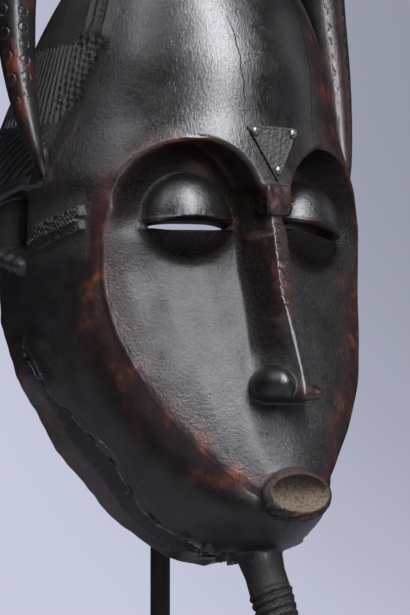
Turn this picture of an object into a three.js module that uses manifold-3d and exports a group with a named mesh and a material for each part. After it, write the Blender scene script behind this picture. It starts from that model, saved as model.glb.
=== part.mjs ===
// A carved and horned wooden face mask on its display stand. Millimetres, +Z up, the face looks along -Y.
// The origin is the centre of the stand foot's underside. Sizes of the mask are measured from a point
// level with its chin, on its middle plane: it stands at MASK_PLACE above the foot.
import * as THREE from 'three';
import { mergeVertices } from 'three/addons/utils/BufferGeometryUtils.js';
import Module from 'manifold-3d';

const wasm = await Module();
wasm.setup();

// Stand
const MASK_PLACE = { y: 30, z: 150 };
const FOOT = { width: 150, thickness: 16 };
const ROD = { radius: 5, y: 38, top: 262, neck: 4, tip: 3.2, socketGap: 0.3, sides: 12 };
const CRADLE = { radius: 3, z: 224, halfSpan: 63.2, frontY: -8 };

// Head: [height, half width, front y, centre y, squareness] of the level sections
const HEAD = [
  [-1, 17, -86, -35, 2.2],
  [2, 26, -93, -34, 2.2],
  [8, 35, -100, -31, 2.2],
  [18, 47, -106, -25, 2.2],
  [32, 56, -109, -19, 2.2],
  [48, 65, -108, -13, 2.2],
  [62, 75, -106, -8, 2.2],
  [87, 87, -102, 0, 2.2],
  [126, 91, -101, 11, 2.2],
  [160, 92.5, -99, 16, 2.2],
  [176, 92, -96, 17.5, 2.2],
  [191, 90, -94, 17.5, 2.1],
  [209, 84, -91.5, 12, 2.0],
  [232, 76, -90, 4.3, 2.0],
  [253, 69, -83.6, -2.6, 2.0],
  [276, 58, -72, -10, 2.0],
  [292, 40, -54, -14, 2.0],
  [299, 18, -34, -16, 2.0],
];
const HEAD_LEVELS = [
  -1, 2, 8, 18, 32, 48, 64, 84, 110, 138, 164, 184, 198, 214, 232, 250, 266, 280, 291, 299,
];
const HEAD_BOTTOM = { y: -58, z: -2.5 };
const HEAD_TOP = { y: -16, z: 301 };
const HEAD_BACK = 44; // depth of the head behind its centre line, before the rim is cut

// Hollow inside the mask, in the same columns
const HOLLOW = [
  [24, 24, -48, -19, 2.4],
  [36, 44, -66, -17, 2.4],
  [52, 57, -80, -11, 2.5],
  [87, 75, -84, 0, 2.6],
  [126, 81, -74, 11, 2.6],
  [160, 82, -66, 16, 2.6],
  [191, 79, -68, 17.5, 2.4],
  [209, 74, -77, 12, 2.2],
  [232, 66, -79, 4.3, 2.0],
  [253, 58, -72, -2.6, 2.0],
  [276, 43, -54, -10, 2.0],
];
const HOLLOW_LEVELS = [24, 36, 52, 72, 96, 126, 160, 191, 216, 240, 262, 276];
const HOLLOW_BOTTOM = { y: -22, z: 17 };
const HOLLOW_TOP = { y: -12, z: 288 };
const HOLLOW_BACK = 90;

// Rim: the back edge, which leans forward towards the chin
const RIM = { halfWidth: 90, power: 1.71 };
const RIM_DEPTH = { bottomZ: -6.3, bottomY: -30, widestZ: 114, widestY: 12, topZ: 215, topY: 22 };
const RIM_FAR_Z = [-40, 320];
const FLANGE = { thickness: 7, inner: 13, embed: 3, past: 2, lip: 3, wave: 0.6, waves: 4.5, steps: 28 };
const FLANGE_WIDTH = { side: 16, jaw: 34, chin: 25, chinFrom: 0.72, growth: 2.4 };
const COLLAR_TOWARDS_Z = 112; // the collar's line is found by going in from the rim towards this height

// Face panel: a heart shape that is sunk under the brows and level with the cheek ridge
const BROW = { x: 40, z: 164, radius: 32.5, startAngle: 166 };
const CHEEK = { width: 74.5, widestZ: 135, bottomZ: 13, curve: 2.1, taper: 0.8, topZ: 152 };
const FACE_CENTRE = { x: 0, z: 108 };
const FACE_MIDDLE = [
  [10, -104],
  [30, -112],
  [60, -105.5],
  [88, -97.5],
  [123, -88],
  [148, -80],
  [160, -77.5],
  [178, -76],
  [199, -69],
];
const FACE_FAR = { front: -160, back: -45 };
const FACE_FILL = 0.05; // the filled-in face lies this far behind the cut one
const FACE_RINGS = [0.965, 0.84, 0.6, 0.3];

// Eyes
const EYE = { x: 36.3, y: -66, z: 157, turn: 17, halfWidth: 24.5, overlap: 0.5 }; // turned to the face's side
const LID = { upper: [20, 22.5], lower: [16.5, 18.5] }; // depth and height
const EYE_SLIT = { height: 2.2, halfWidth: 19, from: -40, to: 32 };
const EYE_TILT = { right: 1, left: 9 }; // how far the outer corner drops at the wearer's right and left eye

// Nose: [height, crest y, crest half width, base half width]
const NOSE = [
  [176, -93, 7, 9],
  [173.5, -97.8, 7.2, 10.5],
  [161, -98.4, 7.2, 11],
  [159.5, -96.5, 3.2, 11],
  [154, -98.5, 3.8, 11],
  [140, -101.5, 3.8, 11],
  [122, -105, 3.2, 10.8],
  [112, -108, 1.9, 10.8],
  [100, -112.5, 1.6, 11.4],
  [84, -119, 1.8, 12],
  [74, -123, 3.2, 13],
];
const NOSE_TIP = { y: -114, z: 70.5 };
const NOSE_ROOT = { sunk: 2, depth: 9, swell: 0.6 };
const WING = { x: -11, y: -108, z: 79, halfWidth: 8.8, halfDepth: 14.5, halfHeight: 9.4 };
const SMALL_WING = { x: 9.5, y: -110, z: 75, halfWidth: 7.6, halfDepth: 11, halfHeight: 5.6 }; // wearer's left

// Mouth: a shallow bowl with a raised lip
const MOUTH = { z: 27.5, y: -113.5, halfWidth: 19.5, halfDepth: 6, halfHeight: 11.8 };
const BOWL = { z: 28.6, y: -120, halfWidth: 16.4, halfDepth: 6.5, halfHeight: 8.6 };

// Small carving
const TEMPLE_BAR = { start: [-21, 153], end: [-50, 162.5], gap: 6.6, height: 4.8 };
const TEMPLE_RAISE = { high: 3, low: 1.9, notches: 5 };
const STRIP = { sunk: 2, bevel: 0.8 };
const EAR = { y: 0, z: 152, radiusY: 14, radiusZ: 19, tube: 4.2, proud: 1, opening: 35, rimMargin: 3 };
const EAR_DETAIL = { sides: 5, steps: 9 };
const TEETH = { count: 11, from: 0.12, to: 0.95, raise: 2.4, sunk: 5 };
const TEETH_SIZE = { small: 5, large: 13, growFrom: 0.45, growth: 3 };
const HAIRLINE = [[176, -23], [200, -31], [216, -35], [250, -42], [270, -40], [306, -30]];
const HAIR = { raise: 2.6, groove: 1.6, grooves: 16, firstAngle: 56, lastAngle: 165, chevronZ: 246 };
const HAIR_LEAN = { upper: -0.95, lower: 0.14 }; // degrees of turn for each millimetre of height
const HAIR_LEVELS = [177, 212, 246, 264, 281, 298];

// Horns: [x, y, z, thickness] along the middle line, from the crown to the temple
const HORN = [
  [20, -10, 288, 25],
  [29, -6, 316, 27],
  [50, -2, 337, 27],
  [74, 0, 333, 27],
  [89, -2, 308, 26],
  [92, -4.5, 276, 24.5],
  [93.5, -9.5, 246, 21],
  [93, -15.5, 219, 17],
  [91, -22, 197, 12.5],
  [88, -28, 179, 7],
];
const HORN_DETAIL = { sides: 8, steps: 20, power: 2.8 };

// Beard: a plait that hangs from the chin and leans forward
const BEARD = { y: -76, z: 8, lean: 28, neck: 26, radius: 10.4, sides: 10 };
const BEARD_RINGS = { count: 9, step: 4.6, depth: 1.6, taper: 0.22, valley: 0.3, crest: 0.8 };
const BEARD_NECK = [[-8, 12.9], [4, 11.4], [20, 9.4]]; // [length down the beard, radius]
const BEARD_KNOB = [[2, 7.5], [5, 9.5], [9, 7.1], [11.5, 2.9]]; // [length past the last ring, radius]

// Plate on the forehead
const PLATE = { halfWidth: 15, top: 203.5, tip: 176, thickness: 1.1, gap: 0.3, sink: 0.2 };
const NAIL = { radius: 2.1, height: 1.3, gap: 0.65, sides: 10, inset: 4.2, insetTop: 3, insetTip: 5.9 };
const NAIL_PROFILE = [[1, 0], [1, 0.3], [0.6, 0.85]]; // shares of the radius and the height

const WOOD = { color: 0x1c1614, roughness: 0.42, metalness: 0 };
const PLATE_METAL = { color: 0x26231f, roughness: 0.55, metalness: 0.6 };
const NAIL_METAL = { color: 0x5a5550, roughness: 0.4, metalness: 0.8 };
const BLACK_STEEL = { color: 0x070707, roughness: 0.45, metalness: 0.4 };

const radians = THREE.MathUtils.degToRad;
const clamp01 = (value) => Math.min(1, Math.max(0, value));
const smooth = (value) => clamp01(value) ** 2 * (3 - 2 * clamp01(value));

// A curve through [place, value...] stations that never overshoots (monotone cubic)
function through(stations, column = 1) {
  const at = stations.map((row) => row[0]);
  const value = stations.map((row) => row[column]);
  const slope = at.slice(1).map((place, i) => (value[i + 1] - value[i]) / (place - at[i]));
  const tangent = at.map((_, i) => {
    if (i === 0) return slope[0];
    if (i === at.length - 1) return slope[i - 1];
    return slope[i - 1] * slope[i] <= 0 ? 0 : 2 / (1 / slope[i - 1] + 1 / slope[i]);
  });
  return (place) => {
    if (place <= at[0]) return value[0];
    if (place >= at[at.length - 1]) return value[at.length - 1];
    const i = at.findIndex((end, k) => k > 0 && place <= end) - 1;
    const span = at[i + 1] - at[i];
    const t = (place - at[i]) / span;
    const a = (1 + 2 * t) * (1 - t) ** 2 * value[i] + t * (1 - t) ** 2 * span * tangent[i];
    return a + t * t * (3 - 2 * t) * value[i + 1] + t * t * (t - 1) * span * tangent[i + 1];
  };
}

// Level sections of a form given by stations
function sections(stations) {
  const [halfWidth, front, centre, power] = [1, 2, 3, 4].map((column) => through(stations, column));
  return { halfWidth, front, centre, power };
}

const head = sections(HEAD);
const hollow = sections(HOLLOW);
const hairline = through(HAIRLINE);
const faceMiddle = through(FACE_MIDDLE);

// Point of a level section at an angle, 0 to the front and 90 degrees to +X, grown outward by `extra`
function sectionPoint(form, z, angle, back, extra = 0) {
  const [s, c] = [Math.sin(angle), Math.cos(angle)];
  const centre = form.centre(z);
  const reach = (c > 0 ? centre - form.front(z) : back) + extra;
  const power = form.power(z);
  const k = (Math.abs(s) ** power + Math.abs(c) ** power) ** (-1 / power);
  return new THREE.Vector3((form.halfWidth(z) + extra) * s * k, centre - reach * c * k, z);
}

// Front of the head at x, and its half width at y
function headY(x, z) {
  const rest = Math.max(0, 1 - (Math.abs(x) / head.halfWidth(z)) ** head.power(z));
  return head.centre(z) - (head.centre(z) - head.front(z)) * rest ** (1 / head.power(z));
}
function headX(y, z) {
  const reach = y < head.centre(z) ? head.centre(z) - head.front(z) : HEAD_BACK;
  const rest = Math.max(0, 1 - (Math.abs(y - head.centre(z)) / reach) ** head.power(z));
  return head.halfWidth(z) * rest ** (1 / head.power(z));
}

// Back edge of the mask: its depth at a height
function rimY(z) {
  const { bottomZ, bottomY, widestZ, widestY, topZ, topY } = RIM_DEPTH;
  const lower = THREE.MathUtils.lerp(bottomY, widestY, clamp01((z - bottomZ) / (widestZ - bottomZ)));
  return lower + (topY - widestY) * smooth((z - widestZ) / (topZ - widestZ));
}

// Closed mesh from triangles, turned so that it encloses a positive volume
function closedGeometry(points, triangles) {
  const volume = triangles.reduce((sum, [a, b, c]) => {
    return sum + points[a].dot(new THREE.Vector3().crossVectors(points[b], points[c]));
  }, 0);
  const faces = volume < 0 ? triangles.map(([a, b, c]) => [a, c, b]) : triangles;
  const geometry = new THREE.BufferGeometry();
  const flat = points.flatMap((p) => p.toArray());
  geometry.setAttribute('position', new THREE.Float32BufferAttribute(flat, 3));
  geometry.setIndex(faces.flat());
  return geometry;
}

// Skin over a row of closed rings, with a fan to a point (or to the ring's middle) at each end
function loft(rings, startPoint, endPoint) {
  const count = rings[0].length;
  const middle = (ring) => ring.reduce((sum, p) => sum.add(p), new THREE.Vector3()).divideScalar(count);
  const poles = [startPoint ?? middle(rings[0]), endPoint ?? middle(rings[rings.length - 1])];
  const points = [...rings.flat(), ...poles];
  const start = points.length - 2;
  const triangles = [];
  for (let r = 0; r < rings.length - 1; r++) {
    for (let i = 0; i < count; i++) {
      const j = (i + 1) % count;
      const [a, b, c, d] = [r * count + i, r * count + j, (r + 1) * count + j, (r + 1) * count + i];
      const even = points[a].distanceToSquared(points[c]) <= points[b].distanceToSquared(points[d]);
      triangles.push(...(even ? [[a, b, c], [a, c, d]] : [[a, b, d], [b, c, d]]));
    }
  }
  for (let i = 0; i < count; i++) {
    const j = (i + 1) % count;
    const last = (rings.length - 1) * count;
    triangles.push([j, i, start], [last + i, last + j, start + 1]);
  }
  return closedGeometry(points, triangles);
}

function mirrored(geometry) {
  const source = geometry.getAttribute('position');
  const points = Array.from({ length: source.count }, (_, i) => {
    return new THREE.Vector3().fromBufferAttribute(source, i).multiply(new THREE.Vector3(-1, 1, 1));
  });
  const index = Array.from(geometry.getIndex().array);
  const triangles = Array.from({ length: index.length / 3 }, (_, i) => index.slice(3 * i, 3 * i + 3));
  return closedGeometry(points, triangles);
}

// Between three.js geometry and a solid that can be joined and cut
function solid(geometry) {
  const bare = geometry.clone();
  for (const name of Object.keys(bare.attributes)) {
    if (name !== 'position') bare.deleteAttribute(name);
  }
  const merged = mergeVertices(bare, 1e-4);
  return new wasm.Manifold(new wasm.Mesh({
    numProp: 3,
    vertProperties: new Float32Array(merged.getAttribute('position').array),
    triVerts: new Uint32Array(merged.getIndex().array),
  }));
}
function geometryOf(body) {
  const mesh = body.getMesh();
  const geometry = new THREE.BufferGeometry();
  geometry.setAttribute('position', new THREE.BufferAttribute(mesh.vertProperties, 3));
  geometry.setIndex(new THREE.BufferAttribute(mesh.triVerts, 1));
  return geometry;
}
const bothSides = (geometry) => solid(geometry).add(solid(mirrored(geometry)));

function ellipsoid(x, y, z, halfX, halfY, halfZ, around, up) {
  const geometry = new THREE.SphereGeometry(1, around, up);
  return geometry.rotateX(Math.PI / 2).scale(halfX, halfY, halfZ).translate(x, y, z);
}

function box(x, y, z) {
  const geometry = new THREE.BoxGeometry(x[1] - x[0], y[1] - y[0], z[1] - z[0]);
  return geometry.translate((x[0] + x[1]) / 2, (y[0] + y[1]) / 2, (z[0] + z[1]) / 2);
}

// Closed form made of level sections between two poles
function levelLoft(form, levels, bottom, top, back, around) {
  const rings = levels.map((z) => {
    const angle = (i) => (2 * Math.PI * i) / around;
    return Array.from({ length: around }, (_, i) => sectionPoint(form, z, angle(i), back));
  });
  return loft(rings, new THREE.Vector3(0, bottom.y, bottom.z), new THREE.Vector3(0, top.y, top.z));
}

// Everything behind a depth that varies with height, as a slab across the whole mask
function behind(depthAt, from, to, steps) {
  const outline = Array.from({ length: steps + 1 }, (_, i) => {
    const z = from + ((to - from) * i) / steps;
    return new THREE.Vector2(depthAt(z), z);
  });
  const far = 200;
  outline.push(new THREE.Vector2(far, to), new THREE.Vector2(far, from));
  const shape = new THREE.Shape(outline);
  const geometry = new THREE.ExtrudeGeometry(shape, { depth: 2 * far, bevelEnabled: false });
  const turn = new THREE.Matrix4().makeBasis(
    new THREE.Vector3(0, 1, 0), new THREE.Vector3(0, 0, 1), new THREE.Vector3(1, 0, 0));
  return geometry.applyMatrix4(turn).translate(-far, 0, 0);
}

// Half outline of the face panel, from between the brows, over one brow and down the cheek ridge
function cheekX(z) {
  const fall = clamp01((CHEEK.widestZ - z) / (CHEEK.widestZ - CHEEK.bottomZ)) ** CHEEK.curve;
  return CHEEK.width * (1 - fall) ** CHEEK.taper;
}
function faceOutline() {
  const arcSteps = 9;
  const cheekSteps = 9;
  const half = [];
  for (let i = 0; i <= arcSteps; i++) {
    const angle = radians(BROW.startAngle * (1 - i / arcSteps));
    half.push([BROW.x + BROW.radius * Math.cos(angle), BROW.z + BROW.radius * Math.sin(angle)]);
  }
  for (let i = 0; i < cheekSteps; i++) {
    const z = THREE.MathUtils.lerp(CHEEK.topZ, CHEEK.bottomZ, (i / cheekSteps) ** 0.85);
    half.push([cheekX(z), z]);
  }
  const other = half.map(([x, z]) => [-x, z]).reverse();
  return [[0, BROW.z], ...half, [0, CHEEK.bottomZ], ...other];
}

// Width of the face panel at a height, and its surface
function faceHalfWidth(z) {
  if (z < BROW.z) return Math.max(1, cheekX(z));
  return BROW.x + Math.sqrt(Math.max(1, BROW.radius ** 2 - (z - BROW.z) ** 2));
}
function faceY(x, z) {
  const halfWidth = faceHalfWidth(z);
  const share = Math.min(1, Math.abs(x) / halfWidth) ** 2;
  return faceMiddle(z) + (headY(Math.min(halfWidth, head.halfWidth(z)), z) - faceMiddle(z)) * share;
}

// The face panel's surface as rings inside its outline, moved back a little and closed at `otherY`
function facePanel(otherY, back) {
  const outline = faceOutline();
  const ring = (share) => outline.map(([x, z]) => {
    const [px, pz] = [x * share, FACE_CENTRE.z + (z - FACE_CENTRE.z) * share];
    return new THREE.Vector3(px, faceY(px, pz) + back, pz);
  });
  const front = [1, ...FACE_RINGS].map(ring);
  const edge = outline.map(([x, z]) => new THREE.Vector3(x, otherY, z));
  const centre = new THREE.Vector3(0, faceY(0, FACE_CENTRE.z) + back, FACE_CENTRE.z);
  return loft([edge, ...front], new THREE.Vector3(0, otherY, FACE_CENTRE.z), centre);
}

// Nose: level sections with a narrow crest and a broad base
function noseBridge() {
  const rings = NOSE.map(([z, crest, crestHalf, baseHalf]) => {
    const base = faceMiddle(z) + NOSE_ROOT.sunk;
    const flank = [(crestHalf + baseHalf) / 2, (crest + base) / 2 - NOSE_ROOT.swell];
    const half = [[crestHalf, crest], flank, [baseHalf, base], [baseHalf, base + NOSE_ROOT.depth]];
    const other = half.map(([x, y]) => [-x, y]).reverse();
    return [...half, ...other].map(([x, y]) => new THREE.Vector3(x, y, z));
  });
  return loft(rings, null, new THREE.Vector3(0, NOSE_TIP.y, NOSE_TIP.z));
}

// Strip that follows the side of the head from one [y, z] to another and stands out by raiseAt(step)
function sideStrip(from, to, halfHeight, steps, raiseAt) {
  const rings = Array.from({ length: steps + 1 }, (_, i) => {
    const t = i / steps;
    const y = THREE.MathUtils.lerp(from[0], to[0], t);
    const z = THREE.MathUtils.lerp(from[1], to[1], t);
    const corner = (dz, out) => {
      const x = headX(y, z + dz);
      const slope = (headX(y - 1, z + dz) - headX(y + 1, z + dz)) / 2;
      const normal = new THREE.Vector2(1, slope).normalize();
      return new THREE.Vector3(x + normal.x * out, y + normal.y * out, z + dz);
    };
    const top = halfHeight * STRIP.bevel;
    const low = -STRIP.sunk;
    const crest = [corner(-top, raiseAt(i)), corner(top, raiseAt(i))];
    return [corner(-halfHeight, low), ...crest, corner(halfHeight, low)];
  });
  return loft(rings);
}

// Points of the rim, from the side at its widest (0) down to the middle of the bottom (1)
function rimPoint(share, inset = 0) {
  const angle = (share * Math.PI) / 2;
  const curve = 2 / RIM.power;
  const x = (RIM.halfWidth - inset) * Math.cos(angle) ** curve;
  const drop = (RIM_DEPTH.widestZ - RIM_DEPTH.bottomZ - inset) * Math.sin(angle) ** curve;
  return new THREE.Vector3(x, rimY(RIM_DEPTH.widestZ - drop), RIM_DEPTH.widestZ - drop);
}

// Width of the flange, from the side (share 0) to under the chin (share 1)
function flangeWidth(share) {
  const grown = smooth(share * FLANGE_WIDTH.growth);
  const jaw = THREE.MathUtils.lerp(FLANGE_WIDTH.side, FLANGE_WIDTH.jaw, grown);
  const chin = smooth((share - FLANGE_WIDTH.chinFrom) / (1 - FLANGE_WIDTH.chinFrom));
  return THREE.MathUtils.lerp(jaw, FLANGE_WIDTH.chin, chin);
}

// Place on the head's skin, `forward` of the rim and `depth` below the skin
function collarPoint(share, forward, depth = 0) {
  const rim = rimPoint(share);
  const y = rim.y - forward;
  let point = rim;
  for (let t = 0; t < 1; t += 0.01) {
    point = new THREE.Vector3(rim.x * (1 - t), y, THREE.MathUtils.lerp(rim.z, COLLAR_TOWARDS_Z, t));
    if (point.z > HEAD_LEVELS[1] && point.x <= headX(y, point.z) - depth) break;
  }
  return point;
}

// Flange: the band behind the collar that runs round the jaw and spreads to the rim
function flange() {
  const rings = Array.from({ length: FLANGE.steps + 1 }, (_, i) => {
    const side = (2 * i) / FLANGE.steps - 1;
    const share = 1 - Math.abs(side);
    const wobble = FLANGE.wave * Math.sin(2 * Math.PI * FLANGE.waves * side);
    const width = flangeWidth(share);
    const edge = (inset, forward) => rimPoint(share, inset).add(new THREE.Vector3(0, -forward, 0));
    const middle = edge(wobble, FLANGE.lip).lerp(collarPoint(share, width), 0.5);
    const outside = [edge(wobble, -FLANGE.past), edge(wobble, FLANGE.lip), middle];
    const inside = [edge(FLANGE.inner, width / 2), edge(FLANGE.thickness, -FLANGE.past)];
    return [...outside, collarPoint(share, width, FLANGE.embed), ...inside].map((p) => {
      return new THREE.Vector3(side < 0 ? -p.x : p.x, p.y, p.z);
    });
  });
  return loft(rings);
}

// Collar: flat teeth that point back over the flange, small by the ears and large under the jaw
function collarTeeth() {
  return Array.from({ length: TEETH.count }, (_, i) => {
    const share = THREE.MathUtils.lerp(TEETH.from, TEETH.to, i / (TEETH.count - 1));
    const grown = smooth((share - TEETH_SIZE.growFrom) * TEETH_SIZE.growth);
    const size = THREE.MathUtils.lerp(TEETH_SIZE.small, TEETH_SIZE.large, grown);
    const line = flangeWidth(share);
    const [root, tip] = [collarPoint(share, line + size / 2), collarPoint(share, line - size / 2)];
    const along = collarPoint(share + 0.02, line).sub(collarPoint(share - 0.02, line)).normalize();
    const out = new THREE.Vector3().crossVectors(along, tip.clone().sub(root)).normalize();
    if (out.x < out.z) out.negate();
    const base = [-size / 2, size / 2].map((shift) => root.clone().addScaledVector(along, shift));
    const layer = (raise) => [...base, tip].map((p) => p.clone().addScaledVector(out, raise));
    return loft([layer(-TEETH.sunk), layer(TEETH.raise)]);
  });
}

// Ear: an open ring standing on the side of the head
function ear() {
  const rings = Array.from({ length: EAR_DETAIL.steps + 1 }, (_, i) => {
    const angle = radians(THREE.MathUtils.lerp(EAR.opening - 180, 180 - EAR.opening, i / EAR_DETAIL.steps));
    const y = EAR.y + EAR.radiusY * Math.cos(angle);
    const z = EAR.z + EAR.radiusZ * Math.sin(angle);
    const x = headX(Math.min(y, rimY(z) - EAR.rimMargin), z) + EAR.proud;
    return Array.from({ length: EAR_DETAIL.sides }, (_, k) => {
      const turn = (2 * Math.PI * k) / EAR_DETAIL.sides;
      const [proud, out] = [EAR.tube * Math.sin(turn), EAR.tube * Math.cos(turn)];
      return new THREE.Vector3(x + proud, y + out * Math.cos(angle), z + out * Math.sin(angle));
    });
  });
  return loft(rings);
}

// Hair: a raised layer whose grooves lean one way near the crown and the other way lower down
function hair() {
  const turnAt = (z) => {
    const lean = z > HAIR.chevronZ ? HAIR_LEAN.upper : HAIR_LEAN.lower;
    return radians(lean * (z - HAIR.chevronZ));
  };
  const rows = 2 * HAIR.grooves;
  const rings = HAIR_LEVELS.map((z) => {
    const half = [sectionPoint(head, z, 0, HEAD_BACK, HAIR.raise)];
    for (let i = 0; i <= rows; i++) {
      const angle = radians(THREE.MathUtils.lerp(HAIR.firstAngle, HAIR.lastAngle, i / rows)) + turnAt(z);
      const raise = HAIR.raise - (i % 2 ? HAIR.groove : 0);
      half.push(sectionPoint(head, z, angle, HEAD_BACK, raise));
    }
    const back = sectionPoint(head, z, Math.PI, HEAD_BACK, HAIR.raise);
    const other = half.slice(1).map((p) => new THREE.Vector3(-p.x, p.y, p.z)).reverse();
    return [...half, back, ...other];
  });
  const top = new THREE.Vector3(0, HEAD_TOP.y, HEAD_TOP.z + HAIR.raise);
  const bottom = new THREE.Vector3(0, head.centre(HAIR_LEVELS[0]), HAIR_LEVELS[0]);
  return loft(rings, bottom, top);
}

// Horn: a rounded square section along a smooth line
function horn() {
  const places = HORN.map(([x, y, z]) => new THREE.Vector3(x, y, z));
  const line = new THREE.CatmullRomCurve3(places, false, 'centripetal');
  const { steps, power } = HORN_DETAIL;
  const forward = new THREE.Vector3(0, -1, 0);
  const rings = Array.from({ length: steps + 1 }, (_, i) => {
    const place = ((HORN.length - 1) * i) / steps;
    const low = Math.min(HORN.length - 2, Math.floor(place));
    const radius = THREE.MathUtils.lerp(HORN[low][3], HORN[low + 1][3], place - low) / 2;
    const centre = line.getPoint(i / steps);
    const across = new THREE.Vector3().crossVectors(line.getTangent(i / steps), forward).normalize();
    const front = new THREE.Vector3().crossVectors(across, line.getTangent(i / steps)).normalize();
    return Array.from({ length: HORN_DETAIL.sides }, (_, k) => {
      const turn = (2 * Math.PI * (k + 0.5)) / HORN_DETAIL.sides;
      const [s, c] = [Math.sin(turn), Math.cos(turn)];
      const reach = radius * (Math.abs(s) ** power + Math.abs(c) ** power) ** (-1 / power);
      return centre.clone().addScaledVector(across, s * reach).addScaledVector(front, c * reach);
    });
  });
  return loft(rings);
}

// Beard: a smooth neck, then stacked rings, then a small knob
function beard() {
  const profile = [...BEARD_NECK, [BEARD.neck, BEARD.radius]];
  for (let i = 0; i < BEARD_RINGS.count; i++) {
    const start = BEARD.neck + i * BEARD_RINGS.step;
    const radius = BEARD.radius - i * BEARD_RINGS.taper;
    profile.push([start + BEARD_RINGS.valley * BEARD_RINGS.step, radius - BEARD_RINGS.depth]);
    profile.push([start + BEARD_RINGS.crest * BEARD_RINGS.step, radius]);
  }
  const end = BEARD.neck + BEARD_RINGS.count * BEARD_RINGS.step;
  profile.push(...BEARD_KNOB.map(([length, radius]) => [end + length, radius]));
  const [s, c] = [Math.sin(radians(BEARD.lean)), Math.cos(radians(BEARD.lean))];
  const rings = profile.map(([length, radius]) => Array.from({ length: BEARD.sides }, (_, k) => {
    const turn = (2 * Math.PI * k) / BEARD.sides;
    const [x, forward] = [radius * Math.cos(turn), radius * Math.sin(turn)];
    return new THREE.Vector3(x, BEARD.y - length * s - forward * c, BEARD.z - length * c + forward * s);
  }));
  return loft(rings);
}

// The whole carved piece, added and cut in the order a carver would
function carveMask() {
  let mask = solid(levelLoft(head, HEAD_LEVELS, HEAD_BOTTOM, HEAD_TOP, HEAD_BACK, 34));
  const hairZone = solid(behind(hairline, HAIR_LEVELS[0] - 1, RIM_FAR_Z[1], 8));
  mask = mask.add(solid(hair()).intersect(hairZone));
  mask = mask.subtract(solid(facePanel(FACE_FAR.front, 0)))
    .add(solid(facePanel(FACE_FAR.back, FACE_FILL)));
  mask = mask.add(solid(flange()));
  for (const tooth of collarTeeth()) mask = mask.add(bothSides(tooth));
  mask = mask.subtract(solid(behind(rimY, ...RIM_FAR_Z, 20)));
  mask = mask.add(bothSides(horn()));
  mask = mask.add(bothSides(ear()));
  mask = mask.add(solid(beard()));
  mask = addFeatures(mask);
  const inside = levelLoft(hollow, HOLLOW_LEVELS, HOLLOW_BOTTOM, HOLLOW_TOP, HOLLOW_BACK, 24);
  mask = mask.subtract(solid(inside));
  return mask.subtract(eyeSlit(-1)).subtract(eyeSlit(1));
}

// One eye, tilted about its own centre, turned to its side and put in its place
function placeEye(geometry, side) {
  const tilt = radians(side < 0 ? EYE_TILT.right : EYE_TILT.left);
  const turned = geometry.rotateY(side * tilt).rotateZ(side * radians(EYE.turn));
  return turned.translate(side * EYE.x, EYE.y, EYE.z);
}
function lids(side) {
  const reach = 2 * EYE.halfWidth;
  const half = (depth, height, from, to) => {
    const dome = solid(placeEye(ellipsoid(0, 0, 0, EYE.halfWidth, depth, height, 16, 8), side));
    return dome.intersect(solid(placeEye(box([-reach, reach], [-reach, reach], [from, to]), side)));
  };
  return half(...LID.upper, 0, reach).add(half(...LID.lower, -reach, EYE.overlap));
}
function eyeSlit(side) {
  const { halfWidth, from, to, height } = EYE_SLIT;
  return solid(placeEye(box([-halfWidth, halfWidth], [from, to], [-height, 0]), side));
}

// Eyes, nose, mouth and temple bars
function addFeatures(body) {
  let mask = body.add(lids(-1)).add(lids(1));
  mask = mask.add(solid(noseBridge()));
  const egg = (form, around) => {
    const [x, y, z] = [form.x ?? 0, form.y, form.z];
    return ellipsoid(x, y, z, form.halfWidth, form.halfDepth, form.halfHeight, around, 8);
  };
  mask = mask.add(solid(egg(WING, 12))).add(solid(egg(SMALL_WING, 12)));
  mask = mask.add(solid(egg(MOUTH, 24))).subtract(solid(egg(BOWL, 20)));
  for (const drop of [0, TEMPLE_BAR.gap]) {
    const from = [TEMPLE_BAR.start[0], TEMPLE_BAR.start[1] - drop];
    const to = [TEMPLE_BAR.end[0], TEMPLE_BAR.end[1] - drop];
    const raise = (i) => (i % 2 ? TEMPLE_RAISE.high : TEMPLE_RAISE.low);
    mask = mask.add(bothSides(sideStrip(from, to, TEMPLE_BAR.height / 2, 2 * TEMPLE_RAISE.notches, raise)));
  }
  return mask;
}

function foreheadPlate() {
  const depth = (x, z) => headY(x, z) - PLATE.gap;
  const corners = [[-PLATE.halfWidth, PLATE.top], [PLATE.halfWidth, PLATE.top], [0, PLATE.tip]];
  const outline = corners.flatMap(([x, z], i) => {
    const [nx, nz] = corners[(i + 1) % 3];
    return [0, 1, 2, 3].map((k) => [x + ((nx - x) * k) / 4, z + ((nz - z) * k) / 4]);
  });
  const middle = [0, (2 * PLATE.top + PLATE.tip) / 3];
  const layer = (out) => [1, 0.5].map((share) => outline.map(([x, z]) => {
    const [px, pz] = [x * share, middle[1] + (z - middle[1]) * share];
    return new THREE.Vector3(px, depth(px, pz) - out, pz);
  }));
  const [backOuter, backInner] = layer(PLATE.sink);
  const [frontOuter, frontInner] = layer(PLATE.sink + PLATE.thickness);
  const pole = (out) => new THREE.Vector3(middle[0], depth(...middle) - out, middle[1]);
  const poles = [pole(PLATE.sink), pole(PLATE.sink + PLATE.thickness)];
  return loft([backInner, backOuter, frontOuter, frontInner], ...poles);
}

// Domed nail head that stands on the plate
function nailHead(x, z) {
  const foot = headY(x, z) - PLATE.gap - PLATE.sink - PLATE.thickness - NAIL.gap;
  const rings = NAIL_PROFILE.map(([out, up]) => Array.from({ length: NAIL.sides }, (_, k) => {
    const turn = (2 * Math.PI * k) / NAIL.sides;
    const [dx, dz] = [out * NAIL.radius * Math.cos(turn), out * NAIL.radius * Math.sin(turn)];
    return new THREE.Vector3(x + dx, foot - up * NAIL.height, z + dz);
  }));
  return loft(rings, new THREE.Vector3(x, foot, z), new THREE.Vector3(x, foot - NAIL.height, z));
}

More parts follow.
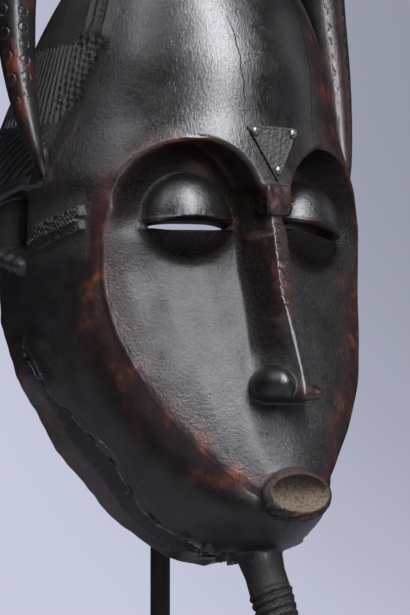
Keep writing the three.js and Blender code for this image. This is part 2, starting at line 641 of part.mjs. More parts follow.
// Upright rod with an eased top, and two curved arms that hold the mask from inside
function standRod() {
  const bottom = FOOT.thickness + ROD.socketGap;
  const stations = [[bottom, ROD.radius], [ROD.top - ROD.neck, ROD.radius], [ROD.top, ROD.tip]];
  const shaft = loft(stations.map(([z, radius]) => Array.from({ length: ROD.sides }, (_, k) => {
    const turn = (2 * Math.PI * k) / ROD.sides;
    return new THREE.Vector3(radius * Math.cos(turn), ROD.y + radius * Math.sin(turn), z);
  })));
  const arms = new THREE.CatmullRomCurve3([-1, -0.7, 0, 0.7, 1].map((side) => {
    const y = THREE.MathUtils.lerp(ROD.y, CRADLE.frontY, side ** 2);
    return new THREE.Vector3(CRADLE.halfSpan * side, y, CRADLE.z);
  }));
  return geometryOf(solid(shaft).add(solid(tube(arms, CRADLE.radius, 6, 10))));
}

// Round bar along a line
function tube(line, radius, sides, steps) {
  const sideways = new THREE.Vector3(1, 0, 0);
  const up = new THREE.Vector3(0, 0, 1);
  const rings = Array.from({ length: steps + 1 }, (_, i) => {
    const tangent = line.getTangentAt(i / steps);
    const helper = Math.abs(tangent.x) > 0.5 ? up : sideways;
    const first = helper.clone().addScaledVector(tangent, -helper.dot(tangent)).normalize();
    const second = new THREE.Vector3().crossVectors(tangent, first);
    return Array.from({ length: sides }, (_, k) => {
      const turn = (2 * Math.PI * k) / sides;
      return line.getPointAt(i / steps).addScaledVector(first, radius * Math.cos(turn))
        .addScaledVector(second, radius * Math.sin(turn));
    });
  });
  return loft(rings);
}

function standFoot() {
  const geometry = new THREE.BoxGeometry(FOOT.width, FOOT.width, FOOT.thickness);
  return geometry.translate(0, 0, FOOT.thickness / 2);
}

function named(name, geometry, finish) {
  const mesh = new THREE.Mesh(geometry, new THREE.MeshStandardMaterial(finish));
  mesh.name = name;
  return mesh;
}

const maskGroup = new THREE.Group();
maskGroup.position.set(0, MASK_PLACE.y, MASK_PLACE.z);
maskGroup.add(named('mask', geometryOf(carveMask()), WOOD));
maskGroup.add(named('forehead_plate', foreheadPlate(), PLATE_METAL));
const nailX = PLATE.halfWidth - NAIL.inset;
const nailTop = PLATE.top - NAIL.insetTop;
maskGroup.add(named('plate_nail_left', nailHead(-nailX, nailTop), NAIL_METAL));
maskGroup.add(named('plate_nail_right', nailHead(nailX, nailTop), NAIL_METAL));
maskGroup.add(named('plate_nail_bottom', nailHead(0, PLATE.tip + NAIL.insetTip), NAIL_METAL));

const object = new THREE.Group();
object.add(maskGroup);
object.add(named('stand_rod', standRod(), BLACK_STEEL));
object.add(named('stand_foot', standFoot(), BLACK_STEEL));

export default object;
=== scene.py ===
"""Looks of a carved, horned wooden face mask on its display stand.

The mask is one carved piece, so it is one mesh. Its form is a distance field built from the same
named sizes as the solid, with the carver's finer work added: grooved hair, incised horns, lids,
plaited beard, toothed collar and wear. Lengths are millimetres until they reach Blender. Sizes of
the mask are measured from a point level with its chin, at MASK_PLACE above the stand's foot.
"""
import math

import bpy
import numpy as np
from mathutils import Matrix, Vector


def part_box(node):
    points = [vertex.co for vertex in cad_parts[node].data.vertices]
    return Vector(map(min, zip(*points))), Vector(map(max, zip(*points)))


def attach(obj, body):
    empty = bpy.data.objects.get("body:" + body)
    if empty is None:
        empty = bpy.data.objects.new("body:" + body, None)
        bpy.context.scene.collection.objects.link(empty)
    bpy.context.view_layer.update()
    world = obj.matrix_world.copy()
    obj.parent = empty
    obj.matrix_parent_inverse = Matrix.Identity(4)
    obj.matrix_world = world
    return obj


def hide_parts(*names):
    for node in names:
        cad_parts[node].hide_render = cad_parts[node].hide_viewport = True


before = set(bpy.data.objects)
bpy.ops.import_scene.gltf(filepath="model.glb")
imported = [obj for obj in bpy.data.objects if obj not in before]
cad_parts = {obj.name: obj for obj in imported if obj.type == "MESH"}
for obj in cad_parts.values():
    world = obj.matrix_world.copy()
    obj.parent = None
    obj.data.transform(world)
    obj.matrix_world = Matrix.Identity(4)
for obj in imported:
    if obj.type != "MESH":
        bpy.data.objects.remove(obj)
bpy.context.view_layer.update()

MM = 0.001
MASK_PLACE = np.array([0.0, 30.0, 150.0])

# Mesh of the mask
VOXEL = 0.7
COARSE_STEPS = (8, 2)  # voxels to a block, in the two coarser searches
STRETCH = 1.45  # the field may grow this much faster than true distance
MASK_TRIANGLES = 195000
PLATE_TRIANGLES = 30000
FIELD_LOW = (-112.0, -140.0, -68.0)
FIELD_HIGH = (112.0, 40.0, 356.0)

# Head: [height, half width, front y, centre y, squareness] of the level sections
HEAD = [
    [-1, 17, -86, -35, 2.2],
    [2, 26, -93, -34, 2.2],
    [8, 35, -100, -31, 2.2],
    [18, 47, -106, -25, 2.2],
    [32, 56, -109, -19, 2.2],
    [48, 65, -108, -13, 2.2],
    [62, 75, -106, -8, 2.2],
    [87, 87, -102, 0, 2.2],
    [126, 91, -101, 11, 2.2],
    [160, 92.5, -99, 16, 2.2],
    [176, 92, -96, 17.5, 2.2],
    [191, 90, -94, 17.5, 2.1],
    [209, 84, -91.5, 12, 2.0],
    [232, 76, -90, 4.3, 2.0],
    [253, 69, -83.6, -2.6, 2.0],
    [276, 58, -72, -10, 2.0],
    [292, 40, -54, -14, 2.0],
    [299, 18, -34, -16, 2.0],
]
HEAD_ENDS = (-2.5, 301.0)
HEAD_BACK = 44.0

# Hollow inside the mask, in the same columns
HOLLOW = [
    [24, 24, -48, -19, 2.4],
    [36, 44, -66, -17, 2.4],
    [52, 57, -80, -11, 2.5],
    [87, 75, -84, 0, 2.6],
    [126, 81, -74, 11, 2.6],
    [160, 82, -66, 16, 2.6],
    [191, 79, -68, 17.5, 2.4],
    [209, 74, -77, 12, 2.2],
    [232, 66, -79, 4.3, 2.0],
    [253, 58, -72, -2.6, 2.0],
    [276, 43, -54, -10, 2.0],
]
HOLLOW_ENDS = (17.0, 288.0)
HOLLOW_BACK = 90.0
HOLLOW_MARKS = {"depth": 0.9, "size": 11.0, "from_rim": (5.8, -8.2)}

# Rim: the back edge, which leans forward towards the chin, and the flange that spreads to it
RIM = {"half_width": 90.0, "drop": 118.3, "power": 1.71, "centre_z": 112.0}
RIM_DEPTH = {"bottom": (-6.3, -30.0), "widest": (114.0, 12.0), "top": (215.0, 22.0)}
FLANGE = {"thickness": 7.0, "inner": 13.0, "embed": 3.0, "lip": 3.0, "wave": 0.6, "waves": 9.0, "above": 2.0}
FLANGE_STEP = {"height": 1.1, "share": 0.48, "run": 1.2, "end": 3.0}
FLANGE_WIDTH = {"side": 16.0, "jaw": 34.0, "chin": 25.0, "chin_from": 0.72, "growth": 2.4}
TEETH = {"count": 11, "first": 0.12, "last": 0.95, "raise": 2.8, "cut": 2.8, "lip": 0.7, "forward": 12.0,
         "jaw": (0.55, 0.8), "chin": (1.0, 0.93)}
TEETH_SIZE = {"small": 5.0, "large": 13.0, "grow_from": 0.45, "growth": 3.0}
TOOTH_SHEET = {"edge": (-0.45, 0.45), "end": (22.0, 6.0), "z": (108.0, 96.0), "skin": (7.5, 4.5),
               "far_chin": (0.7, 0.85), "far_side": (0.0, 8.0)}
TOOTH_CUT = {"across": (0.75, 0.3), "ahead": 0.18, "thin": 1.1, "thick": 0.22, "edge": (1.0, 1 / 3)}
FLANGE_HOLE = {"x": -72.0, "z": 44.0, "forward": 11.0, "radius": 1.8}

# Face panel: a heart shape, sunk under the brows and level with the cheek ridge
BROW = {"x": 40.0, "z": 164.0, "radius": 32.5, "start": 166.0}
CHEEK = {"width": 74.5, "widest_z": 135.0, "bottom_z": 17.0, "curve": 2.1, "taper": 0.8, "top_z": 152.0}
FACE_MIDDLE = [
    [10, -104],
    [30, -112],
    [60, -105.5],
    [88, -97.5],
    [123, -88],
    [148, -80],
    [160, -77.5],
    [178, -76],
    [199, -69],
]
FACE_BACK = -45.0
# Bend of the panel across: 1 makes straight halves, 2 a round one
FACE_BEND = {"low": 1.7, "high": 1.2, "cheek_z": (45.0, 150.0), "brow": 2.0, "brow_z": (130.0, 175.0)}
SOCKET = {"depth": 6.0, "round_eye": (1.75, 1.05), "z": (146.0, 168.0)}
NOSE_SIDE = {"depth": 5.0, "x": 9.0, "width": 14.0, "low_z": (150.0, 178.0), "high_z": (198.0, 178.0)}
COVE = {"brow": 9.0, "cheek": 2.0, "z": (110.0, 168.0)}
EDGE_WEAR = {"brow": 3.2, "cheek": 8.0}
JAW_COVE = {"depth": 3.6, "edge": (0.0, 2.5), "end": (24.5, 2.5), "high_z": (132.0, 37.0),
            "low_z": (14.0, 40.0), "across": (16.0, 40.0)}
CHIN_SOFT = {"round": 14.0, "across": (42.0, 26.0), "z": (38.0, 20.0)}

# Eyes
EYE = {"x": 33.0, "y": -66.0, "z": 157.0, "turn": 17.0, "half_width": 22.9}
LID_UPPER = (20.0, 24.0)
LID_LOWER = (16.5, 18.5)
EYE_TILT = {"right": 1.0, "left": 9.0}
EYE_SLIT = {"half_width": 20.4, "inward": 0.1, "height": 4.3, "centre": -1.9, "back": 32.0}
LID_EDGE = {"upper": 1.6, "upper_raise": 0.7, "lower": -3.3, "lower_raise": 0.6, "width": 0.8, "gap": -2.6}

# Nose: [height, crest y, crest half width, base half width]
NOSE = [
    [70, -120, 3, 12.5],
    [74, -123, 3.2, 13],
    [84, -119, 1.8, 12],
    [100, -112.5, 1.6, 11.4],
    [112, -108, 1.9, 10.8],
    [122, -105, 3.2, 10.8],
    [140, -101.5, 3.8, 11],
    [154, -98.5, 3.8, 11],
    [159, -96.0, 3.0, 11],
    [166, -95.5, 4.5, 10.5],
    [176, -93, 5, 9],
]
NOSE_BLOCK = {"half_width": 7.0, "y": (-98.6, -88.0), "z": (160.5, 174.5), "proudest_z": 168.0}
NOSE_ENDS = (71.5, 175.5)
NOSE_ROOT_SUNK = 2.0
NOSE_SCORES = {"depth": 0.45, "pitch": 4.3, "lean": 0.25, "low_z": (110.0, 116.0), "high_z": (158.0, 154.0)}
NOSE_ROUNDING = {"tip": 1.3, "bridge": 0.9, "z": (104.0, 116.0)}
WING = {"x": -11.0, "y": -108.0, "z": 79.0, "size": (8.8, 14.5, 9.4)}
SMALL_WING = {"x": 6.0, "y": -110.0, "z": 75.0, "size": (6.6, 12.0, 4.8)}

# Mouth
MOUTH = {"z": 27.5, "y": -112.3, "size": (19.5, 5.8, 11.8)}
BOWL = {"z": 28.8, "y": -117.6, "size": (16.2, 9.0, 8.6)}
LIP_WEAR = {"rough": 0.35, "size": 1.3, "lift": 0.5, "z": (25.5, 20.5)}
# Heights where the tan inside the mouth's bowl fades: above them it stays faint, as painted shade under the
# upper lip
MOUTH_SHADE_LINE = {"low": 0.176, "high": 0.183}  # metres up

CHEEK_GLOSS = {"from": 0.2, "to": 0.3}  # metres up, where the cheeks lose their shine
WAX = {"from": 0.32, "to": 0.37}  # metres up, where the wood grows smoother

# Small carving
TEMPLE_BAR = {"start": (-21.0, 153.0), "end": (-50.0, 162.5), "gap": 6.6, "half_height": 2.9}
TEMPLE_RAISE = {"high": 2.7, "low": 2.35, "pitch": 2.1, "far_side": 0.5}
# Ear: two ridges, each from (y, z) to (y, z), and a slot between them that deepens to the front
EAR_RIDGES = [((-12.5, 178.0), (17.0, 171.5)), ((-10.0, 138.0), (17.0, 146.5))]
EAR = {"ridge": 3.1, "proud": 0.4, "knobs": 0.4, "slot_depth": 5.5, "front_y": (-15.0, -12.5),
       "back_y": (12.0, -9.0), "low_z": (145.0, 149.0), "high_z": (175.0, 171.0)}
HAIRLINE = [[176, -23], [200, -31], [216, -35], [250, -42], [270, -40], [306, -30]]
HAIR = {"raise": 2.6, "groove": 0.9, "chevron_z": 246.0, "patch_z": (207.75, 206.25), "radius": 70.0,
        "back": (12.0, 14.0), "low_back": (4.0, 8.0), "margin": (9.0, 11.0), "low_margin": (5.0, 7.0),
        "edge": (-1.3, 1.3), "start_z": (175.0, 177.0), "crown_z": (288.0, 293.0), "crown_pitch": 3.4}
CHEVRON_BLEND = 0.6
# Grooves of the hair: how steeply their phase grows up the head and round it, and their pitch
HAIR_GROOVES = {"upper": (0.70, 0.72, 2.5), "lower": (-0.22, 0.97, 2.6), "patch": (0.70, 0.72, 3.6)}
# Hairline, behind the line: two ridges with beads between them, in a trough
HAIR_EDGE = {"z": (250.0, 258.0), "ridges": ((1.6, 1.1), (7.5, 1.3)), "ridge": 0.9, "beads": (4.6, 1.4),
             "bead": 0.7, "pitch": 3.4, "trough": 1.3, "trough_from": (-0.5, 0.5), "trough_to": (12.0, 10.0)}
# Below the chevron the hair is worn and its edge is softer
HAIR_WORN = {"high_z": (252.0, 246.0), "low_z": (206.0, 218.0), "back": (19.0, 13.0), "rough": 0.5,
             "sunk": 0.9, "edge_z": (252.0, 244.0), "edge_back": (12.0, 4.0)}

# Horns: [x, y, z, thickness] along the middle line, from the crown to the temple
HORN = [
    (20, -10, 288, 25),
    (29, -6, 316, 27),
    (50, -2, 337, 27),
    (74, 0, 333, 27),
    (89, -2, 308, 26),
    (92, -4.5, 276, 24.5),
    (93.5, -9.5, 246, 21),
    (93, -15.5, 219, 17),
    (91, -22, 197, 12.5),
    (88, -28, 179, 7),
]
HORN_SCALE = 0.97
# Faces of the horn's section: [degrees from the front, turned outward; share of the half thickness]
HORN_FACES = [(-6, 0.94), (40, 0.97), (96, 1.0), (136, 1.0), (180, 0.97), (225, 1.0), (270, 1.0), (312, 1.02)]
HORN_ROUNDING = 4.5
HORN_OUTER_TURN = 66  # degrees of the outer face on the wearer's right horn, which is squarer
# Incised circles, first on the front face and then on the outer one; how far inward they sit
HORN_CIRCLE = {"pitch": (8.4, 11.6), "radius": (2.3, 2.9), "depth": (0.28, 0.6), "line": (0.78, 0.18),
               "inward": (-2.0, 5.0), "within": 1.5, "from": (60.0, 70.0), "end_gap": (24.0, 54.0)}

# Beard: a plait that hangs from the chin and leans forward
BEARD = {"y": -76.0, "z": 8.0, "lean": 28.0, "neck": 29.0, "radius": 10.7}
BEARD_RINGS = {"count": 9, "step": 4.25, "depth": 1.9, "taper": 0.22}
BEARD_NECK = [(-8, 12.9), (4, 11.8), (20, 9.7), (29, 9.9)]
BEARD_STRANDS = {"count": 5, "depth": 0.55, "slant": 0.9, "ends": 3.0}
BEARD_KNOB = [(2, 7.5), (5, 9.5), (9, 7.1), (11.5, 2.9)]

# Cracks down the forehead: two (x, z) ends and a half width
CRACKS = [((-14.0, 214.0), (-17.0, 262.0), 0.36), ((26.5, 192.0), (30.0, 272.0), 0.3)]

# Plate on the forehead
PLATE = {"half_width": 15.0, "top": 203.5, "tip": 176.0, "thickness": 1.1, "gap": 0.5}
NAIL = {"radius": 2.1, "height": 1.3, "gap": 0.65, "inset": 4.2, "inset_top": 3.0, "inset_tip": 5.9}

# Stand
FOOT = {"width": 150.0, "thickness": 16.0, "bevel": 1.2}
ROD = {"radius": 5.0, "y": 38.0, "top": 262.0, "gap": 0.3, "sides": 28, "bevel": 0.8, "rings": 60}
CRADLE = {"radius": 3.0, "z": 224.0, "half_span": 63.2, "front_y": -8.0, "sides": 20, "bevel": 0.6,
          "rings": 40}
BAR_INSET = 0.99  # thickness as a share of the solid's, so that the round bars keep inside its box

# Camera, at the photograph's angle: degrees and millimetres, and the picture's long side in pixels
CAMERA = {"azimuth": -33.0, "elevation": -4.0, "distance": 1600.0, "target": (15.1, 20.2, 272.25)}
FOCAL_PIXELS = 3200.0
PICTURE_HEIGHT = 615.0

Z_TABLE = np.arange(FIELD_LOW[2] - 8.0, FIELD_HIGH[2] + 8.0, 0.25)


def smooth(value):
    value = np.clip(value, 0.0, 1.0)
    return value * value * (3.0 - 2.0 * value)


def rise(value, start, full):
    """0 at the start and 1 where it is full, whichever of the two is larger; fades are named as such pairs"""
    return smooth((value - start) / (full - start))


def peak(value, middle, width):
    """1 at the middle, and falling away over the width on both sides"""
    return np.exp(-((value - middle) / width) ** 2)


def mix(a, b, share):
    return a + (b - a) * share


def smax(a, b, k):
    """Larger of two distances, rounded over k"""
    h = np.maximum(k - np.abs(a - b), 0.0)
    return np.maximum(a, b) + h * h / (4.0 * k)


def smin(a, b, k):
    return -smax(-a, -b, k)


def through(stations, column=1):
    """Table over Z_TABLE of the smooth curve through (height, value...) stations (monotone cubic)"""
    at = np.array([row[0] for row in stations], float)
    value = np.array([row[column] for row in stations], float)
    span = np.diff(at)
    slope = np.diff(value) / span
    tangent = np.zeros_like(value)
    tangent[0] = slope[0]
    tangent[-1] = slope[-1]
    same = slope[:-1] * slope[1:] > 0
    safe = np.where(same, slope[:-1] * slope[1:], 1.0)
    tangent[1:-1] = np.where(same, 2.0 * safe / (slope[:-1] + slope[1:] + np.where(same, 0.0, 1e9)), 0.0)
    place = np.clip(Z_TABLE, at[0], at[-1])
    i = np.clip(np.searchsorted(at, place) - 1, 0, len(span) - 1)
    t = (place - at[i]) / span[i]
    start = (1 + 2 * t) * (1 - t) ** 2 * value[i] + t * (1 - t) ** 2 * span[i] * tangent[i]
    return start + t * t * (3 - 2 * t) * value[i + 1] + t * t * (t - 1) * span[i] * tangent[i + 1]


def at_height(table, z):
    return np.interp(z, Z_TABLE, table)


def section_form(stations, back):
    tables = [through(stations, column) for column in (1, 2, 3, 4)]
    slopes = [np.gradient(table, Z_TABLE) for table in tables[:3]]
    return {"tables": tables, "slopes": slopes, "back": back}


def section_distance(form, x, y, z):
    """Distance to a form made of level sections"""
    width, front, centre, power = [at_height(table, z) for table in form["tables"]]
    width_slope, front_slope, centre_slope = [at_height(table, z) for table in form["slopes"]]
    forward = y < centre
    reach = np.where(forward, centre - front, form["back"])
    reach_slope = np.where(forward, centre_slope - front_slope, 0.0)
    s = np.abs(x) / width
    t = np.abs(y - centre) / reach
    s_power = s ** (power - 1)
    t_power = t ** (power - 1)
    level = np.maximum(s_power * s + t_power * t, 1e-9) ** (1 / power)
    scale = level ** (1 - power)
    grad_x = scale * s_power / width
    grad_y = scale * t_power / reach
    side = np.where(forward, 1.0, -1.0)
    t_slope = (side * centre_slope - t * reach_slope) / reach
    grad_z = scale * (t_power * t_slope - s_power * s * width_slope / width)
    return (level - 1) / np.maximum(np.sqrt(grad_x ** 2 + grad_y ** 2 + grad_z ** 2), 1e-9)


def ripple(x, y, z, size, seed, waves=5):
    """Gentle unevenness between about -1 and 1, its bumps `size` across"""
    rng = np.random.default_rng(seed)
    total = np.zeros_like(x)
    for _ in range(waves):
        direction = rng.normal(size=3)
        direction *= 2 * math.pi / (2 * size * np.linalg.norm(direction)) * rng.uniform(0.7, 1.4)
        total += np.sin(direction[0] * x + direction[1] * y + direction[2] * z + rng.uniform(0, 6.28))
    return total / math.sqrt(waves)


def ellipsoid(x, y, z, centre, size):
    """Distance to an ellipsoid, near enough close to its skin"""
    u = (x - centre[0]) / size[0]
    v = (y - centre[1]) / size[1]
    w = (z - centre[2]) / size[2]
    level = np.sqrt(u * u + v * v + w * w)
    grad = np.sqrt((u / size[0]) ** 2 + (v / size[1]) ** 2 + (w / size[2]) ** 2)
    return np.where(level < 1e-6, -min(size), level * (level - 1) / np.maximum(grad, 1e-9))


HEAD_FORM = section_form(HEAD, HEAD_BACK)
HOLLOW_FORM = section_form(HOLLOW, HOLLOW_BACK)
HAIRLINE_TABLE = through(HAIRLINE)
FACE_MIDDLE_TABLE = through(FACE_MIDDLE)
NOSE_TABLES = [through(NOSE, column) for column in (1, 2, 3)]


def head_y(x, z):
    """Front of the head at x"""
    width, front, centre, power = [at_height(table, z) for table in HEAD_FORM["tables"]]
    rest = np.maximum(0.0, 1 - (np.abs(x) / width) ** power)
    return centre - (centre - front) * rest ** (1 / power)


def head_x(y, z):
    """Half width of the head at y"""
    width, front, centre, power = [at_height(table, z) for table in HEAD_FORM["tables"]]
    reach = np.where(y < centre, centre - front, HEAD_BACK)
    rest = np.maximum(0.0, 1 - (np.abs(y - centre) / reach) ** power)
    return width * rest ** (1 / power)


def rim_y(z):
    """Depth of the mask's back edge at a height"""
    (bottom_z, bottom_y), (widest_z, widest_y), (top_z, top_y) = RIM_DEPTH.values()
    lower = mix(bottom_y, widest_y, np.clip((z - bottom_z) / (widest_z - bottom_z), 0, 1))
    return lower + (top_y - widest_y) * rise(z, widest_z, top_z)


def rim_slope():
    """Cosine of the lower rim's lean"""
    (bottom_z, bottom_y), (widest_z, widest_y), _ = RIM_DEPTH.values()
    return math.cos(math.atan2(widest_y - bottom_y, widest_z - bottom_z))


RIM_SLOPE = rim_slope()


# Face panel
def cheek_x(z):
    fall = np.clip((CHEEK["widest_z"] - z) / (CHEEK["widest_z"] - CHEEK["bottom_z"]), 0, 1)
    return CHEEK["width"] * (1 - fall ** CHEEK["curve"]) ** CHEEK["taper"]


def face_half_width(z):
    arc = BROW["x"] + np.sqrt(np.maximum(1.0, BROW["radius"] ** 2 - (z - BROW["z"]) ** 2))
    joined = rise(z, CHEEK["top_z"], BROW["z"])
    return np.where(z < BROW["z"], mix(np.maximum(1.0, cheek_x(z)), BROW["x"] + BROW["radius"], joined), arc)


def face_y(x, z):
    """The face panel's surface"""
    half_width = face_half_width(z)
    share = np.minimum(1.0, np.abs(x) / half_width)
    middle = at_height(FACE_MIDDLE_TABLE, z)
    edge = head_y(np.minimum(half_width, at_height(HEAD_FORM["tables"][0], z)), z)
    bend = mix(FACE_BEND["low"], FACE_BEND["high"], rise(z, *FACE_BEND["cheek_z"]))
    bend = mix(bend, FACE_BEND["brow"], rise(z, *FACE_BEND["brow_z"]))
    round_eye = np.hypot((np.abs(x) - EYE["x"]) / EYE["half_width"], (z - EYE["z"]) / LID_UPPER[1])
    socket = SOCKET["depth"] * rise(round_eye, *SOCKET["round_eye"]) * rise(z, *SOCKET["z"])
    beside_nose = NOSE_SIDE["depth"] * peak(np.abs(x), NOSE_SIDE["x"], NOSE_SIDE["width"])
    beside_nose *= rise(z, *NOSE_SIDE["low_z"]) * rise(z, *NOSE_SIDE["high_z"])
    return middle + (edge - middle) * share ** bend + smax(socket, beside_nose, 2.0)


def face_outline(arc_steps=40, cheek_steps=60, crowding=0.7):
    """Half outline of the face panel, from between the brows and down the cheek ridge"""
    half = [(0.0, BROW["z"])]
    for angle in np.linspace(math.radians(BROW["start"]), 0, arc_steps):
        across, up = math.cos(angle), math.sin(angle)
        half.append((BROW["x"] + BROW["radius"] * across, BROW["z"] + BROW["radius"] * up))
    for share in np.linspace(0, 1, cheek_steps):
        z = mix(BROW["z"] - 1, CHEEK["bottom_z"], share ** crowding)
        half.append((float(face_half_width(np.array([z]))[0]), z))
    half.append((0.0, CHEEK["bottom_z"]))
    return np.array(half)


GRID = {"step": 0.5, "x": 100.0, "low": -12.0, "high": 214.0}


def outline_grids():
    """Tables over (x, z): distance to the face's outline, the face's depth and its steepness"""
    xs = np.arange(0, GRID["x"], GRID["step"])
    zs = np.arange(GRID["low"], GRID["high"], GRID["step"])
    x, z = np.meshgrid(xs, zs, indexing="ij")
    outline = face_outline()
    nearest = np.full(x.shape, 1e9)
    inside = np.zeros(x.shape, bool)
    for (x0, z0), (x1, z1) in zip(outline[:-1], outline[1:]):
        dx, dz = x1 - x0, z1 - z0
        t = np.clip(((x - x0) * dx + (z - z0) * dz) / (dx * dx + dz * dz), 0, 1)
        nearest = np.minimum(nearest, np.hypot(x - x0 - t * dx, z - z0 - t * dz))
        if z0 != z1:
            crosses = (z0 > z) != (z1 > z)
            inside ^= crosses & (x < x0 + (z - z0) * dx / dz)
    surface = face_y(x, z)
    slope_x, slope_z = np.gradient(surface, GRID["step"])
    steep = np.sqrt(1 + slope_x ** 2 + slope_z ** 2)
    return np.where(inside, -nearest, nearest), surface, np.minimum(steep, 2.5)


OUTLINE_GRID, FACE_GRID, STEEP_GRID = outline_grids()


def from_grid(grids, x, z):
    u = np.clip(np.abs(x) / GRID["step"], 0, grids[0].shape[0] - 1.001)
    v = np.clip((z - GRID["low"]) / GRID["step"], 0, grids[0].shape[1] - 1.001)
    i, j = u.astype(int), v.astype(int)
    u, v = u - i, v - j
    return [(g[i, j] * (1 - u) + g[i + 1, j] * u) * (1 - v)
            + (g[i, j + 1] * (1 - u) + g[i + 1, j + 1] * u) * v for g in grids]


# Flange, in rays from a centre out to the rim: `share` is 0 at the side and 1 under the chin
def rim_point(share):
    angle = share * math.pi / 2
    curve = 2 / RIM["power"]
    x = RIM["half_width"] * np.cos(angle) ** curve
    return x, RIM["centre_z"] - RIM["drop"] * np.sin(angle) ** curve


def flange_width(share):
    jaw = mix(FLANGE_WIDTH["side"], FLANGE_WIDTH["jaw"], smooth(share * FLANGE_WIDTH["growth"]))
    chin = rise(share, FLANGE_WIDTH["chin_from"], 1)
    return mix(jaw, FLANGE_WIDTH["chin"], chin)


def collar_table():
    """How far in from the rim the collar lies, as a share of the ray"""
    shares = np.linspace(0, 1, 121)
    x, z = rim_point(shares)
    y = rim_y(z) - flange_width(shares)
    inward = np.zeros_like(shares)
    found = np.zeros(shares.shape, bool)
    for t in np.arange(0, 1, 0.004):
        ray_z = mix(z, RIM["centre_z"], t)
        hit = ~found & (ray_z > HEAD[1][0]) & (x * (1 - t) <= head_x(y, ray_z))
        inward[hit] = t
        found |= hit
    along = np.concatenate([[0], np.cumsum(np.hypot(np.diff(x), np.diff(z)))])
    return shares, inward, along


SHARES, COLLAR_INWARD, RIM_ALONG = collar_table()


def flange_places(x, y, z):
    """Share round the rim, distance forward of it, radius and the rim's radius on the same ray"""
    across = np.abs(x) + 1e-6
    down = np.maximum(RIM["centre_z"] - z, 0) + 1e-6
    ratio = (down / RIM["drop"]) / (across / RIM["half_width"])
    share = np.arctan(ratio ** (RIM["power"] / 2)) * 2 / math.pi
    rim_x, rim_z = rim_point(share)
    forward = rim_y(rim_z) - y
    wobble = FLANGE["wave"] * np.sin(FLANGE["waves"] * math.pi * share)
    return share, forward, np.hypot(across, down), np.hypot(rim_x, RIM["centre_z"] - rim_z) - wobble


def tooth_line(share):
    """How far forward of the rim the middle of the teeth lies"""
    under_jaw = rise(share, *TEETH["jaw"]) * rise(share, *TEETH["chin"])
    return flange_width(share) + TEETH["forward"] * under_jaw


def each_tooth(share):
    """Distance along the collar to each tooth, with its size and how fully it is grown"""
    along = np.interp(share, SHARES, RIM_ALONG)
    for centre in np.linspace(TEETH["first"], TEETH["last"], TEETH["count"]):
        grown = float(smooth((centre - TEETH_SIZE["grow_from"]) * TEETH_SIZE["growth"]))
        size = mix(TEETH_SIZE["small"], TEETH_SIZE["large"], grown)
        yield along - np.interp(centre, SHARES, RIM_ALONG), size, grown


def tooth_edge(share):
    """How far forward of the rim the collar's toothed edge lies"""
    line = tooth_line(share)
    edge = line.copy()
    for sideways, size, _ in each_tooth(share):
        point = np.maximum(0, 1 - np.abs(sideways) / (size / 2))
        edge = np.minimum(edge, line + size / 2 - size * point)
    return edge


def tooth_cuts(share, forward):
    """Slits along the collar in front of each tooth, 1 in the middle of a slit"""
    line = tooth_line(share)
    cut = np.zeros_like(share)
    for sideways, size, grown in each_tooth(share):
        across = sideways / (size * mix(*TOOTH_CUT["across"], grown))
        thickness = mix(TOOTH_CUT["thin"], size * TOOTH_CUT["thick"], grown)
        ahead = (forward - line - size * TOOTH_CUT["ahead"]) / thickness
        cut = np.maximum(cut, rise(np.hypot(across, ahead), *TOOTH_CUT["edge"]))
    return cut


def add_flange(field, x, y, z):
    """Join the flange and the collar, cut its teeth and bore its hole"""
    share, forward, radius, rim_radius = flange_places(x, y, z)
    width = flange_width(share)
    inward = np.interp(share, SHARES, COLLAR_INWARD) * rim_radius
    rising = np.clip((forward - FLANGE["lip"]) / (width - FLANGE["lip"]), 0, 1)
    step = smooth((forward - FLANGE_STEP["share"] * width) / FLANGE_STEP["run"])
    step *= FLANGE_STEP["height"] * smooth((width - forward) / FLANGE_STEP["end"])
    lean = 1 / np.sqrt(1 + (inward / width) ** 2)
    outer = (radius - rim_radius + inward * rising) * lean - step
    near = mix(FLANGE["thickness"], FLANGE["inner"], np.clip(forward * 2 / width, 0, 1))
    far = mix(FLANGE["inner"], inward + FLANGE["embed"], np.clip(forward * 2 / width - 1, 0, 1))
    inner = (rim_radius - np.where(forward < width / 2, near, far) - radius) * 0.9
    flange = smax(smax(outer, inner, 1.0), forward - width - 1.0, 1.0)
    flange = smax(flange, z - RIM["centre_z"] - FLANGE["above"], 3.0)
    joined = smin(field, flange, 1.2)

    reach = forward - tooth_edge(share)
    sheet = rise(reach, *TOOTH_SHEET["edge"]) * rise(forward - width, *TOOTH_SHEET["end"])
    lip = TEETH["lip"] * peak(reach, 0.5, TEETH["lip"])
    shown = rise(z, *TOOTH_SHEET["z"]) * rise(np.abs(joined), *TOOTH_SHEET["skin"])
    shown *= 1 - rise(share, *TOOTH_SHEET["far_chin"]) * rise(x, *TOOTH_SHEET["far_side"])
    joined = joined - (TEETH["raise"] * sheet + lip) * shown
    joined = joined + TEETH["cut"] * tooth_cuts(share, forward) * shown
    radial = np.hypot((x - FLANGE_HOLE["x"]) * 0.8, z - FLANGE_HOLE["z"]) - FLANGE_HOLE["radius"]
    through_flange = np.abs(forward - FLANGE_HOLE["forward"]) - FLANGE["thickness"] - 1
    return smax(joined, -smax(radial, through_flange, 1.0), 0.8)


